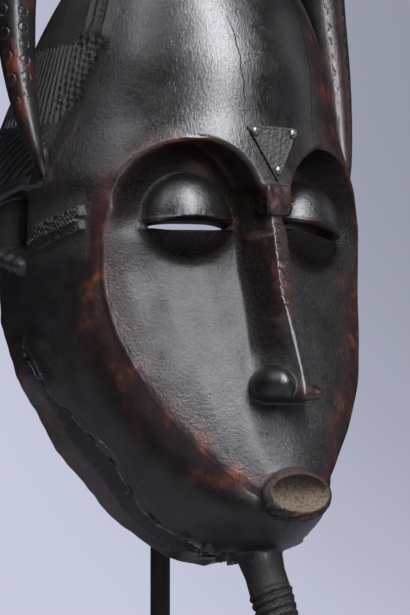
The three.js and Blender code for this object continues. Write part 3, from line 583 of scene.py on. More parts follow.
# Horns
def smooth_line(points, samples):
    """Centripetal curve through points, as points and directions"""
    points = np.array(points, float)
    ends = [2 * points[0] - points[1], 2 * points[-1] - points[-2]]
    padded = np.vstack([ends[0], points, ends[1]])
    line = []
    for place in np.linspace(0, len(points) - 1, samples):
        i = min(int(place), len(points) - 2)
        t = place - i
        p0, p1, p2, p3 = padded[i:i + 4]
        d0, d1, d2 = [math.sqrt(np.linalg.norm(b - a)) for a, b in ((p0, p1), (p1, p2), (p2, p3))]
        m1 = ((p1 - p0) / d0 - (p2 - p0) / (d0 + d1) + (p2 - p1) / d1) * d1
        m2 = ((p2 - p1) / d1 - (p3 - p1) / (d1 + d2) + (p3 - p2) / d2) * d1
        t2, t3 = t * t, t ** 3
        point = (2 * t3 - 3 * t2 + 1) * p1 + (t3 - 2 * t2 + t) * m1
        line.append(point + (3 * t2 - 2 * t3) * p2 + (t3 - t2) * m2)
    line = np.array(line)
    along = np.concatenate([[0], np.cumsum(np.linalg.norm(np.diff(line, axis=0), axis=1))])
    tangent = np.gradient(line, along, axis=0)
    return line, tangent / np.linalg.norm(tangent, axis=1, keepdims=True), along


def horn_frame(samples=90):
    """Middle line of the wearer's left horn, with its directions and half thickness"""
    line, tangent, along = smooth_line([row[:3] for row in HORN], samples)
    rows = np.linspace(0, len(HORN) - 1, samples)
    thickness = np.interp(rows, range(len(HORN)), [row[3] for row in HORN])
    across = np.cross(tangent, (0.0, -1.0, 0.0))
    across /= np.linalg.norm(across, axis=1, keepdims=True)
    front = np.cross(across, tangent)
    return {"line": line, "along": along, "radius": thickness / 2 * HORN_SCALE,
            "tangent": tangent, "across": across, "front": front}


HORN_FRAME = horn_frame()


def horn_places(x, y, z):
    """Place along the horn, and inward and forward distances from its middle line"""
    p = np.stack([np.abs(x), y, z], 1)
    line, along = HORN_FRAME["line"], HORN_FRAME["along"]
    squares = (p ** 2).sum(1)[:, None] - 2 * p @ line.T + (line ** 2).sum(1)[None]
    nearest = squares.argmin(1)
    reach = along[nearest] + ((p - line[nearest]) * HORN_FRAME["tangent"][nearest]).sum(1)
    place = np.clip(reach, 0, along[-1])
    line_there, across, front = [
        np.stack([np.interp(place, along, HORN_FRAME[name][:, k]) for k in range(3)], 1)
        for name in ("line", "across", "front")
    ]
    offset = p - line_there
    inward = (offset * across).sum(1)
    forward = (offset * front).sum(1)
    return place, inward, forward, reach - place


def horn_distance(x, y, z):
    """Distance to the faceted horns, with the circles cut into two of their faces"""
    place, inward, forward, beyond = horn_places(x, y, z)
    radius = np.interp(place, HORN_FRAME["along"], HORN_FRAME["radius"])
    field = np.full_like(x, -radius.max())
    marks = np.zeros_like(x)
    for index, (degrees, share) in enumerate(HORN_FACES):
        turn = np.radians(np.where((x < 0) & (index == 1), HORN_OUTER_TURN, degrees))
        s, c = np.sin(turn), np.cos(turn)
        face = -inward * s + forward * c - share * radius
        field = smax(field, face, HORN_ROUNDING)
        if index >= len(HORN_CIRCLE["pitch"]):
            continue
        sideways = inward * c + forward * s
        if index == 0:
            sideways = sideways - np.where(x < 0, *HORN_CIRCLE["inward"])
        pitch = HORN_CIRCLE["pitch"][index]
        ring_place = (place + index * pitch / 2) % pitch - pitch / 2
        ring = np.abs(np.hypot(ring_place, sideways) - HORN_CIRCLE["radius"][index])
        line = rise(ring, *HORN_CIRCLE["line"]) * (face > -HORN_CIRCLE["within"])
        marks = np.maximum(marks, line * HORN_CIRCLE["depth"][index])
    carved = rise(place, *HORN_CIRCLE["from"])
    carved *= rise(HORN_FRAME["along"][-1] - place, *HORN_CIRCLE["end_gap"])
    return smax(field + marks * carved, np.abs(beyond) - 0.5, 2.0)


# Beard
def beard_profile(places=(0.15, 0.3, 0.45, 0.65, 0.85, 1.0), groove=0.1):
    """(length, radius) down the beard: a smooth neck, the rings, each bulging after a groove, and a knob"""
    profile = list(BEARD_NECK)
    for ring in range(BEARD_RINGS["count"]):
        start = BEARD["neck"] + ring * BEARD_RINGS["step"]
        radius = BEARD["radius"] - ring * BEARD_RINGS["taper"]
        for place in places:
            bulge = math.sin(math.pi * (place - groove) / (1 - groove)) ** 0.6 if place < 1 else 0.0
            profile.append((start + place * BEARD_RINGS["step"], radius - BEARD_RINGS["depth"] * (1 - bulge)))
    end = BEARD["neck"] + BEARD_RINGS["count"] * BEARD_RINGS["step"]
    profile += [(end + length, radius) for length, radius in BEARD_KNOB]
    return np.array(profile)


BEARD_PROFILE = beard_profile()


def beard_distance(x, y, z):
    s, c = math.sin(math.radians(BEARD["lean"])), math.cos(math.radians(BEARD["lean"]))
    dy, dz = y - BEARD["y"], z - BEARD["z"]
    length = -dy * s - dz * c
    forward = -dy * c + dz * s
    radius = np.hypot(x, forward)
    turn = np.arctan2(x, forward)
    knob_start = BEARD_PROFILE[-len(BEARD_KNOB)][0]
    plaited = smooth((length - BEARD["neck"]) / BEARD_STRANDS["ends"])
    plaited *= smooth((knob_start - length) / BEARD_STRANDS["ends"])
    slant = BEARD_STRANDS["slant"] * np.sin(turn * 2 + 0.4) * plaited
    profile = np.interp(length + slant, BEARD_PROFILE[:, 0], BEARD_PROFILE[:, 1])
    strand = np.abs(np.sin(turn * BEARD_STRANDS["count"] + length * math.pi / BEARD_RINGS["step"]))
    profile = profile - BEARD_STRANDS["depth"] * plaited * (1 - smooth(strand * 2.2))
    return smax((radius - profile) * 0.8, length - BEARD_PROFILE[-1][0], 2.0)


# Head, hair and everything carved on them
def hair_grooves(style, z, round_head):
    up, across, pitch = HAIR_GROOVES[style]
    return np.sin(2 * math.pi * (up * z + across * round_head) / pitch)


def add_hair(field, x, y, z, rim):
    """Raise the hair: grooves that turn at the chevron, and two ridges at the hairline"""
    back = y - at_height(HAIRLINE_TABLE, z)
    centre = at_height(HEAD_FORM["tables"][2], z)
    round_head = np.arctan2(np.abs(x), centre - y) * HAIR["radius"]
    upper = hair_grooves("upper", z - HAIR["chevron_z"], round_head)
    patch = rise(z, *HAIR["patch_z"])
    lower = mix(hair_grooves("lower", z, round_head), hair_grooves("patch", z, round_head), patch)
    groove = mix(lower, upper, rise(z, HAIR["chevron_z"] - CHEVRON_BLEND, HAIR["chevron_z"] + CHEVRON_BLEND))
    crown = rise(z, *HAIR["crown_z"])
    groove = mix(groove, np.sin(2 * math.pi * x / HAIR["crown_pitch"]), crown)
    high = rise(back, *HAIR["back"]) * rise(-rim, *HAIR["margin"])
    low = rise(back, *HAIR["low_back"]) * rise(-rim, *HAIR["low_margin"])
    carved = np.where(z > HAIR["chevron_z"], high, low)
    height = HAIR["raise"] - HAIR["groove"] * (0.5 - 0.5 * groove) * carved

    edge = HAIR_EDGE
    ridges = sum(peak(back, middle, width) for middle, width in edge["ridges"])
    beads = peak(back, *edge["beads"]) * (0.5 + 0.5 * np.sin(2 * math.pi * z / edge["pitch"]))
    trough = rise(back, *edge["trough_from"]) * rise(back, *edge["trough_to"])
    ridged = rise(z, *edge["z"]) * (1 - crown)
    height += ridged * (edge["ridge"] * ridges + edge["bead"] * beads - edge["trough"] * trough)

    worn = rise(z, *HAIR_WORN["high_z"]) * rise(z, *HAIR_WORN["low_z"]) * rise(back, *HAIR_WORN["back"])
    height += worn * (HAIR_WORN["rough"] * ripple(x, y, z, 1.5, 5) - HAIR_WORN["sunk"])
    height -= HAIR_WORN["sunk"] * rise(z, *HAIR_WORN["edge_z"]) * rise(back, *HAIR_WORN["edge_back"])
    return field - height * rise(back, *HAIR["edge"]) * rise(z, *HAIR["start_z"])


def eye_places(x, y, z):
    """Coordinates in the nearer eye's own frame: across to the outside, back, and up"""
    tilt = np.radians(np.where(x < 0, EYE_TILT["right"], EYE_TILT["left"]))
    turn = math.radians(EYE["turn"])
    u, v, w = np.abs(x) - EYE["x"], y - EYE["y"], z - EYE["z"]
    across = u * math.cos(turn) + v * math.sin(turn)
    back = -u * math.sin(turn) + v * math.cos(turn)
    return across * np.cos(tilt) - w * np.sin(tilt), back, across * np.sin(tilt) + w * np.cos(tilt)


def lid_distance(u, v, w):
    """Distance to the two lids and the ball between them, in the eye's own frame"""
    half = EYE["half_width"]
    upper = ellipsoid(u, v, w, (0, 0, 0), (half, *LID_UPPER))
    upper = upper - LID_EDGE["upper_raise"] * peak(w, LID_EDGE["upper"], LID_EDGE["width"])
    bevel = -(w + 0.2) * 0.8 - (v + 14) * 0.35 * (v < -14)
    upper = smax(upper, bevel, 0.8)
    lower = ellipsoid(u, v, w, (0, 0, 0), (half, *LID_LOWER))
    lower = lower - LID_EDGE["lower_raise"] * peak(w, LID_EDGE["lower"], LID_EDGE["width"])
    lower = smax(lower, w - LID_EDGE["gap"], 0.8)
    ball = ellipsoid(u, v, w, (0, 3.2, 0), (half - 1.5, LID_LOWER[0] - 0.5, LID_LOWER[1] - 1))
    return smin(smin(upper, lower, 0.6), ball, 0.8)


def add_lids(field, x, y, z):
    return smin(field, lid_distance(*eye_places(x, y, z)), 2.2)


def cut_slits(field, x, y, z):
    """Cut the eye slits right through"""
    u, v, w = eye_places(x, y, z)
    across = np.abs(u + EYE_SLIT["inward"])
    half_height = EYE_SLIT["height"] / 2 * (1 - np.minimum(1, across / EYE_SLIT["half_width"]) ** 4)
    height = np.abs(w - EYE_SLIT["centre"]) - half_height
    slit = smax(smax(height, across - EYE_SLIT["half_width"], 1.0), v - EYE_SLIT["back"], 1.0)
    return smax(field, -slit, 0.7)


def nose_distance(x, y, z):
    """Distance to the nose's ridge and the block between the brows"""
    crest, crest_half, base_half = [at_height(table, z) for table in NOSE_TABLES]
    base = at_height(FACE_MIDDLE_TABLE, z) + NOSE_ROOT_SUNK
    wide = np.maximum(base_half - crest_half, 0.5)
    deep = base - crest
    flank = ((np.abs(x) - crest_half) * deep - (y - crest) * wide) / np.hypot(wide, deep)
    scored = rise(z, *NOSE_SCORES["low_z"]) * rise(z, *NOSE_SCORES["high_z"])
    score = np.abs(np.sin(math.pi * z / NOSE_SCORES["pitch"] + NOSE_SCORES["lean"] * x))
    notch = NOSE_SCORES["depth"] * (1 - smooth(score * 3.2)) * scored
    rounding = mix(NOSE_ROUNDING["tip"], NOSE_ROUNDING["bridge"], rise(z, *NOSE_ROUNDING["z"]))
    body = smax((crest - y) * 0.93 + notch, flank, rounding)
    body = smax(body, y - base - 9, 2.0)
    body = smax(smax(body, NOSE_ENDS[0] - z, 3.5), z - NOSE_ENDS[1], 1.6)
    (front, back), (low, high) = NOSE_BLOCK["y"], NOSE_BLOCK["z"]
    front_face = front - y + 0.08 * np.abs(z - NOSE_BLOCK["proudest_z"])
    block = smax(np.abs(x) - NOSE_BLOCK["half_width"], front_face, 1.2)
    block = smax(block, smax(low - z, z - high, 1.0), 1.2)
    block = smax(block, y - back, 1.0) + 0.25 * ripple(x, y, z, 2.2, 17)
    return smin(body, block, 0.8)


def add_nose(field, x, y, z):
    """Join the nose and its two unequal wings"""
    field = smin(field, nose_distance(x, y, z), 2.5)
    for wing in (WING, SMALL_WING):
        side = ellipsoid(x, y, z, (wing["x"], wing["y"], wing["z"]), wing["size"])
        field = smin(field, smax(side, NOSE_ENDS[0] + 0.5 - z, 2.0), 1.3)
    return field


def add_mouth(field, x, y, z):
    """Join the pursed lips and hollow their bowl"""
    lip = ellipsoid(x, y, z, (0, MOUTH["y"], MOUTH["z"]), MOUTH["size"])
    bowl = ellipsoid(x, y, z, (0, BOWL["y"], BOWL["z"]), BOWL["size"])
    rough = LIP_WEAR["rough"] * ripple(x, y, z, LIP_WEAR["size"], 21) - LIP_WEAR["lift"]
    field = smin(field, lip + rough * rise(z, *LIP_WEAR["z"]), 4.5)
    return smax(field, -bowl, 1.3)


def add_temple_bars(field, x, y, z):
    """Raise two notched bars on each temple, which are higher on the wearer's right"""
    (y0, z0), (y1, z1) = TEMPLE_BAR["start"], TEMPLE_BAR["end"]
    length = math.hypot(y1 - y0, z1 - z0)
    dy, dz = (y1 - y0) / length, (z1 - z0) / length
    for drop in (0.0, TEMPLE_BAR["gap"]):
        along = (y - y0) * dy + (z - z0 + drop) * dz
        off_line = np.abs((z - z0 + drop) * dy - (y - y0) * dz)
        notch = np.abs(np.sin(math.pi * (along + 0.5 * (z - z0)) / TEMPLE_RAISE["pitch"]))
        height = mix(TEMPLE_RAISE["low"], TEMPLE_RAISE["high"], smooth(notch * 1.6))
        height *= np.where(x < 0, 1.0, TEMPLE_RAISE["far_side"])
        bar = smax(field - height, off_line - TEMPLE_BAR["half_height"], 1.2)
        field = smin(field, smax(bar, np.abs(along - length / 2) - length / 2, 1.5), 0.8)
    return field


def add_ear(field, x, y, z, skin):
    """Sink the ear's slot and lay its two ridges on the head's skin"""
    slot = rise(y, *EAR["front_y"]) * rise(y, *EAR["back_y"])
    slot *= rise(z, *EAR["low_z"]) * rise(z, *EAR["high_z"])
    field = field + EAR["slot_depth"] * slot
    for (y0, z0), (y1, z1) in EAR_RIDGES:
        dy, dz = y1 - y0, z1 - z0
        along = np.clip(((y - y0) * dy + (z - z0) * dz) / (dy * dy + dz * dz), 0, 1)
        off_line = np.hypot(y - y0 - along * dy, z - z0 - along * dz)
        knobs = EAR["knobs"] * np.sin(along * 22) if z0 < EYE["z"] else 0.0
        field = smin(field, np.hypot(off_line, skin - EAR["proud"]) - EAR["ridge"] - knobs, 2.0)
    return field


def add_horns(field, x, y, z):
    return smin(field, horn_distance(x, y, z), 1.5)


def add_beard(field, x, y, z):
    return smin(field, beard_distance(x, y, z), 2.0)


def hollow_distance(x, y, z):
    """Distance to the hollow inside, before the carver's tool marks"""
    inside = section_distance(HOLLOW_FORM, x, y, z)
    return smax(smax(inside, HOLLOW_ENDS[0] - z, 8.0), z - HOLLOW_ENDS[1], 8.0)


def cut_hollow(field, x, y, z, rim):
    tooled = ripple(x, y, z, HOLLOW_MARKS["size"], 11) * rise(rim, *HOLLOW_MARKS["from_rim"])
    return smax(field, -(hollow_distance(x, y, z) + HOLLOW_MARKS["depth"] * tooled), 2.5)


# Where each carving lies, with room for its blend: low and high corners, mirrored in x
AREAS = {
    "hair": ((-1, -60, 164), (120, 50, 360)),
    "ear": ((48, -32, 118), (107, 34, 194)),
    "temple": ((54, -56, 138), (101, -14, 172)),
    "flange": ((-1, -90, -20), (120, 50, 128)),
    "horn": ((-1, -38, 167), (118, 26, 360)),
    "beard": ((-1, -133, -80), (22, -52, 24)),
    "nose": ((-1, -126, 57), (30, -52, 186)),
    "mouth": ((-1, -130, 6), (28, -92, 49)),
    "eye": ((0, -103, 124), (74, -22, 192)),
    "hollow": ((-1, -90, -20), (120, 50, 320)),
    "slit": ((8, -150, 130), (75, 0, 184)),
}


def within(area, x, y, z):
    """Which points lie in an area"""
    inside = np.ones(len(x), bool)
    for place, low, high in zip((np.abs(x), y, z), *AREAS[area]):
        inside &= (place > low) & (place < high)
    return np.nonzero(inside)[0]


def carve(field, area, change, *places):
    """Change the field where a carving lies; the places are x, y, z and what else the change reads"""
    at = within(area, *places[:3])
    if len(at):
        field[at] = change(field[at], *[place[at] for place in places])


def mask_distance(x, y, z):
    """Distance to the carved mask's surface, negative inside the wood"""
    skin = section_distance(HEAD_FORM, x, y, z)
    skin = smax(smax(skin, HEAD_ENDS[0] - z, 9.0), z - HEAD_ENDS[1], 6.0)
    skin = skin + 0.1 * ripple(x, y, z, 19.0, 1)
    rim = (y - rim_y(z)) * RIM_SLOPE

    outline, surface, steep = from_grid([OUTLINE_GRID, FACE_GRID, STEEP_GRID], x, z)
    sunk = rise(outline, *JAW_COVE["edge"]) * rise(outline, *JAW_COVE["end"]) * rise(z, *JAW_COVE["high_z"])
    sunk *= rise(np.abs(x), *JAW_COVE["across"]) * rise(z, *JAW_COVE["low_z"])
    jaw = skin + JAW_COVE["depth"] * sunk

    # The face is cut in, with a cove under the brows and a soft ridge down the cheeks
    browed = rise(z, *COVE["z"])
    depth = (surface - y) / steep + 0.12 * ripple(x, y, z, 9.0, 3)
    kept = smin(-outline, depth, mix(COVE["cheek"], COVE["brow"], browed))
    chin = rise(z, *CHIN_SOFT["z"]) * rise(np.abs(x), *CHIN_SOFT["across"])
    panel = smax(smax(outline + 0.3, depth, mix(1.0, CHIN_SOFT["round"], chin)), y - FACE_BACK, 1.0)
    field = smax(jaw, kept, mix(EDGE_WEAR["cheek"], EDGE_WEAR["brow"], browed))
    field = smin(field, panel, mix(1.5, CHIN_SOFT["round"], chin))

    carve(field, "hair", add_hair, x, y, z, rim)
    carve(field, "ear", add_ear, x, y, z, skin)
    carve(field, "temple", add_temple_bars, x, y, z)
    carve(field, "flange", add_flange, x, y, z)
    field = smax(field, rim + 0.5 * ripple(x, y, z, 5.0, 7), 1.6)
    carve(field, "horn", add_horns, x, y, z)
    carve(field, "beard", add_beard, x, y, z)
    carve(field, "nose", add_nose, x, y, z)
    carve(field, "mouth", add_mouth, x, y, z)
    carve(field, "eye", add_lids, x, y, z)
    carve(field, "hollow", cut_hollow, x, y, z, rim)
    carve(field, "slit", cut_slits, x, y, z)
    return field


# Meshing
def evaluate(distance, points, chunk=60000):
    value = np.empty(len(points), np.float32)
    for start in range(0, len(points), chunk):
        part = points[start:start + chunk].astype(np.float64)
        value[start:start + chunk] = distance(part[:, 0], part[:, 1], part[:, 2])
    return value


def sampled_field(distance, low, high, voxel):
    """The field on a grid, known only close to its surface"""
    low = np.array(low)
    coarse = voxel * COARSE_STEPS[0]
    blocks = np.ceil((np.array(high) - low) / coarse).astype(int)
    shape = blocks * COARSE_STEPS[0] + 1
    cells = np.stack(np.meshgrid(*[np.arange(n) for n in blocks], indexing="ij"), -1).reshape(-1, 3)
    size = COARSE_STEPS[0]
    for finer in (*COARSE_STEPS[1:], 1):
        middle = low + (cells * size + size / 2) * voxel
        kept = np.abs(evaluate(distance, middle)) < STRETCH * math.sqrt(3) / 2 * size * voxel + 0.8
        cells = cells[kept]
        if finer == 1:
            break
        steps = size // finer
        inner = np.stack(np.meshgrid(*[np.arange(steps)] * 3, indexing="ij"), -1).reshape(-1, 3)
        cells = (cells[:, None] * steps + inner[None]).reshape(-1, 3)
        size = finer
    known = np.zeros(shape, bool)
    corner = cells * size
    for offset in np.stack(np.meshgrid(*[np.arange(size + 1)] * 3, indexing="ij"), -1).reshape(-1, 3):
        i, j, k = (corner + offset).T
        known[i, j, k] = True
    places = np.nonzero(known)
    field = np.full(shape, np.nan, np.float32)
    field[places] = evaluate(distance, low + np.stack(places, 1) * voxel)
    return field, low


def surface_net(field, low, voxel):
    """Points and four-sided faces of the surface where the field is zero"""
    shape = np.array(field.shape)
    corners, crossings, flips = [], [], []
    for axis in range(3):
        first = [slice(None)] * 3
        second = [slice(None)] * 3
        first[axis], second[axis] = slice(0, -1), slice(1, None)
        a, b = field[tuple(first)], field[tuple(second)]
        edges = np.stack(np.nonzero((a < 0) != (b < 0)), 1)
        a, b = a[tuple(edges.T)], b[tuple(edges.T)]
        good = np.isfinite(a) & np.isfinite(b) & (edges > 0).all(1) & (edges < shape - 1).all(1)
        edges, a, b = edges[good], a[good], b[good]
        crossing = edges.astype(float)
        crossing[:, axis] += a / (a - b)
        others = [(axis + 1) % 3, (axis + 2) % 3]
        around = []
        for d0, d1 in ((-1, -1), (0, -1), (0, 0), (-1, 0)):
            cell = edges.copy()
            cell[:, others[0]] += d0
            cell[:, others[1]] += d1
            around.append(np.ravel_multi_index(tuple(cell.T), tuple(shape)))
        corners.append(np.stack(around, 1))
        crossings.append(crossing)
        flips.append(a > b)
    corners, crossings, flips = [np.concatenate(part) for part in (corners, crossings, flips)]
    _, index = np.unique(corners.ravel(), return_inverse=True)
    count = np.bincount(index)
    points = [np.bincount(index, weights=np.repeat(crossings[:, k], 4)) / count for k in range(3)]
    faces = index.reshape(-1, 4)
    faces = np.where(flips[:, None], faces[:, ::-1], faces)
    return low + np.stack(points, 1) * voxel, faces


def largest_surface(points, faces):
    """The biggest connected part, without specks"""
    label = np.arange(len(points))
    while True:
        lowest = label[faces].min(1)
        joined = label.copy()
        for corner in range(faces.shape[1]):
            np.minimum.at(joined, faces[:, corner], lowest)
        joined = joined[joined]
        if (joined == label).all():
            break
        label = joined
    kept = label[faces[:, 0]] == np.bincount(label[faces[:, 0]]).argmax()
    used, index = np.unique(faces[kept], return_inverse=True)
    return points[used], index.reshape(-1, faces.shape[1])


def gradient(distance, points, step=0.12):
    columns = []
    for axis in range(3):
        shift = np.zeros(3)
        shift[axis] = step
        columns.append((evaluate(distance, points + shift) - evaluate(distance, points - shift)) / (2 * step))
    return np.stack(columns, 1).astype(float)


def settle(distance, points, most):
    """Move points onto the surface, at most this far"""
    value = evaluate(distance, points).astype(float)
    slope = gradient(distance, points)
    move = -slope * (value / np.maximum((slope ** 2).sum(1), 0.15))[:, None]
    length = np.linalg.norm(move, axis=1)
    return points + move * np.minimum(1, most / np.maximum(length, 1e-9))[:, None]


def to_metres(points, place=MASK_PLACE):
    return (np.asarray(points) + place) * MM


def grid_mesh(name, points, faces):
    """Mesh from points in metres and faces that all have the same number of corners"""
    sides = faces.shape[1]
    mesh = bpy.data.meshes.new(name)
    mesh.vertices.add(len(points))
    mesh.vertices.foreach_set("co", np.ascontiguousarray(points, np.float32).ravel())
    mesh.loops.add(faces.size)
    mesh.loops.foreach_set("vertex_index", np.ascontiguousarray(faces, np.int32).ravel())
    mesh.polygons.add(len(faces))
    mesh.polygons.foreach_set("loop_start", np.arange(0, faces.size, sides, dtype=np.int32))
    mesh.update(calc_edges=True)
    mesh.validate()
    return mesh


def place_mesh(name, mesh):
    piece = bpy.data.objects.new(name, mesh)
    bpy.context.collection.objects.link(piece)
    return piece


def decimated(name, mesh, triangles):
    """The mesh with about this many triangles, kept dense where it bends"""
    piece = place_mesh(name, mesh)
    modifier = piece.modifiers.new("fewer", "DECIMATE")
    modifier.ratio = min(1.0, triangles / (2 * len(mesh.polygons)))
    modifier.use_collapse_triangulate = True
    depsgraph = bpy.context.evaluated_depsgraph_get()
    result = bpy.data.meshes.new_from_object(piece.evaluated_get(depsgraph))
    bpy.data.objects.remove(piece)
    bpy.data.meshes.remove(mesh)
    result.name = name
    return result


def mesh_points(mesh):
    points = np.empty(3 * len(mesh.vertices), np.float32)
    mesh.vertices.foreach_get("co", points)
    return points.reshape(-1, 3).astype(float)


def set_attribute(mesh, name, values):
    layer = mesh.attributes.new(name, "FLOAT", "POINT")
    layer.data.foreach_set("value", np.ascontiguousarray(values, np.float32))


def smooth_shaded(mesh, normals=None):
    mesh.shade_smooth()
    if normals is not None:
        mesh.normals_split_custom_set_from_vertices(np.asarray(normals, np.float32))


def carved_piece(name, distance, low, high, voxel, triangles):
    """Mesh of a distance field, with its places in the mask's own millimetres"""
    field, low = sampled_field(distance, low, high, voxel)
    points, faces = largest_surface(*surface_net(field, low, voxel))
    points = settle(distance, points, voxel * 0.6)
    mesh = grid_mesh(name, to_metres(points), faces)
    if 2 * len(faces) > triangles:
        mesh = decimated(name, mesh, triangles)
    local = settle(distance, mesh_points(mesh) / MM - MASK_PLACE, voxel * 0.3)
    box_low, box_high = [np.array(corner, float) / MM - MASK_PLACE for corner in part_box(name)]
    local = np.clip(local, box_low, box_high)
    mesh.vertices.foreach_set("co", np.ascontiguousarray(to_metres(local), np.float32).ravel())
    slope = gradient(distance, local, 0.2)
    normals = slope / np.maximum(np.linalg.norm(slope, axis=1, keepdims=True), 1e-6)
    smooth_shaded(mesh, normals)
    return mesh, local, normals


# Marks on the mask: soft steps that multiply, each a place, where it starts and where it is full
STEPS = {
    "inside": [("hollow", 4.2, 1.2)],
    "brow": [("z", 120, 150)],
    "brow_side": [("across", 24, 46)],
    "cheek": [("z", 22, 34), ("z", 158, 128)],
    "left_cheek": [("z", 40, 60), ("z", 150, 130), ("x", -0.1, 0.1)],
    "left_forehead": [("x", 30, 44), ("z", 190, 210), ("y", -8, -28), ("outline", 0, 4)],
    "lid_edge": [("off_lid_edge", 2.08, 0.48)],
    "nose_tip": [("z", 82, 74), ("across", 11, 7), ("y", -112, -115), ("x", -6, -2)],
    "nose_bridge": [("z", 110, 116), ("z", 176, 172), ("y", -88, -91), ("across", 6, 4)],
    "strip": [("forward", -1, 1), ("forward", 18, 15), ("z", 0, 30), ("z", 100.1, 99.9),
              ("in_from_rim", 12.1, 11.9)],
    "panel": [("outline", 0, -5), ("off_face", 4.8, 1.8)],
    "nose_flank": [("past_crest", 0.6, 1.8), ("past_base", 3.5, 0.5), ("z", 88, 100), ("z", 178, 172),
                   ("y", -59.9, -60.1)],
    "socket": [("outline", -1.4, -1.6), ("z", 152, 164), ("behind_face", -9, -5)],
    "under_lid": [("round_eye", 1.25, 1.05), ("lid_up", -2, -3.5), ("lid_back", 10.1, 9.9)],
    "dome": [("off_lid", 1.8, 0.3), ("lid_up", -1.1, -0.9)],
    "hair_edge": [("z", 252, 244), ("z", 177.9, 178.1)],
    "ear_slot": [("y", -15, -13), ("y", 3, -6), ("z", 145, 149), ("z", 175, 171), ("across", 59.9, 60.1)],
    "cheek_ridge": [("z", 128, 98), ("z", 12, 26)],
    "lips": [("off_lip", 2.4, 0.9)],
    "near_rim": [("z", 106.1, 105.9), ("y", -90.1, -89.9)],
    "flange": [("past_teeth", 0.32, -0.48), ("forward", 1, 5)],
    "teeth": [("z", 96, 86)],
    "hair": [("past_hairline", -3.6, -0.6), ("z", 176, 179), ("across", 85.1, 84.9)],
    "horn": [("off_horn", 0.9, -0.1)],
    "scuff": [("z", 250, 244), ("x", 0.1, -0.1), ("horn_forward", -0.1, 0.1)],
    "scuff_full": [("z", 202, 208)],
    "forehead": [("z", 199, 203), ("y", -40, -52)],
    "temple": [("y", -54, -51), ("y", 14, 10), ("off_temple", 15.4, 11.4), ("across", 54.9, 55.1)],
    "mouth": [("off_bowl", 1.4, 0.4)],
    "beard": [("off_beard", 1.5, 0.5), ("z", 2, -4)],
}
# Bands of a mark across a place: where the middle lies, and the width
BANDS = {
    "brow": ("outline", 0.8, 3.2),
    "cheek": ("outline", -2.5, 7.5),
    "left_cheek": ("outline", -9.0, 8.0),
    "cheek_ridge": ("outline", 7.0, 6.0),
    "hair_edge": ("past_hairline", 0.0, 3.0),
    "teeth": ("past_teeth", 0.4, 0.9),
    "scuff": ("horn_side", -0.62, 0.22),
}
MARK_SHARE = {"left_cheek": 0.9, "left_forehead": 0.75, "lid_edge": 0.7, "nose_bridge": 0.55,
              "hair_edge": 0.9, "cheek_ridge": 0.75}
LEAST = {"brow_middle": 0.35, "scuff": 0.35}
FRONT_DEPTH = 22.0  # how far behind the face's surface its wear reaches
TEMPLE_MIDDLE_Z = 152.0
LID_EDGE_UP = 0.6
FAR = 20.0  # stands for a distance that is too long to matter
SHELTER_REACH = 2.5  # how far from the surface the shelter and the edges are felt


def steps_product(places, mark):
    """The mark's soft steps, multiplied, and its band across a place if it has one"""
    result = 1.0
    for name, start, full in STEPS[mark]:
        result = result * rise(places[name], start, full)
    if mark in BANDS:
        name, middle, width = BANDS[mark]
        result = result * peak(places[name], middle, width)
    return result


def mark_places(x, y, z):
    """Every place that the marks are measured by, in millimetres or as a share of a size"""
    outline, surface, _ = from_grid([OUTLINE_GRID, FACE_GRID, STEEP_GRID], x, z)
    share, forward, radius, rim_radius = flange_places(x, y, z)
    _, crest_half, base_half = [at_height(table, z) for table in NOSE_TABLES]
    lid_across, lid_back, lid_up = eye_places(x, y, z)
    across = np.abs(x)
    places = {
        "x": x, "y": y, "z": z, "across": across, "outline": outline,
        "hollow": hollow_distance(x, y, z), "behind_face": y - surface, "off_face": np.abs(y - surface),
        "forward": forward, "in_from_rim": rim_radius - radius,
        "past_crest": across - crest_half, "past_base": across - base_half,
        "round_eye": np.hypot(lid_across / EYE["half_width"], lid_up / LID_LOWER[1]),
        "lid_back": lid_back, "lid_up": lid_up, "off_lid_edge": np.abs(lid_up - LID_EDGE_UP),
        "off_lid": np.abs(lid_distance(lid_across, lid_back, lid_up)),
        "off_lip": ellipsoid(x, y, z, (0, MOUTH["y"], MOUTH["z"]), MOUTH["size"]),
        "off_bowl": ellipsoid(x, y, z, (0, BOWL["y"], BOWL["z"]), BOWL["size"]),
        "past_hairline": y - at_height(HAIRLINE_TABLE, z), "off_temple": np.abs(z - TEMPLE_MIDDLE_Z),
        "off_beard": beard_distance(x, y, z),
    }
    near_rim = steps_product(places, "near_rim")
    places["past_teeth"] = np.where(near_rim > 0.5, forward - tooth_edge(share), FAR)
    for name in ("off_horn", "horn_side", "horn_forward"):
        places[name] = np.full(len(x), FAR)
    at = within("horn", x, y, z)
    turn = math.radians(HORN_FACES[0][0])
    place, horn_inward, horn_forward, _ = horn_places(x[at], y[at], z[at])
    half_thickness = np.interp(place, HORN_FRAME["along"], HORN_FRAME["radius"])
    places["off_horn"][at] = horn_distance(x[at], y[at], z[at])
    places["horn_side"][at] = (horn_inward * math.cos(turn) + horn_forward * math.sin(turn)) / half_thickness
    places["horn_forward"][at] = horn_forward
    return places


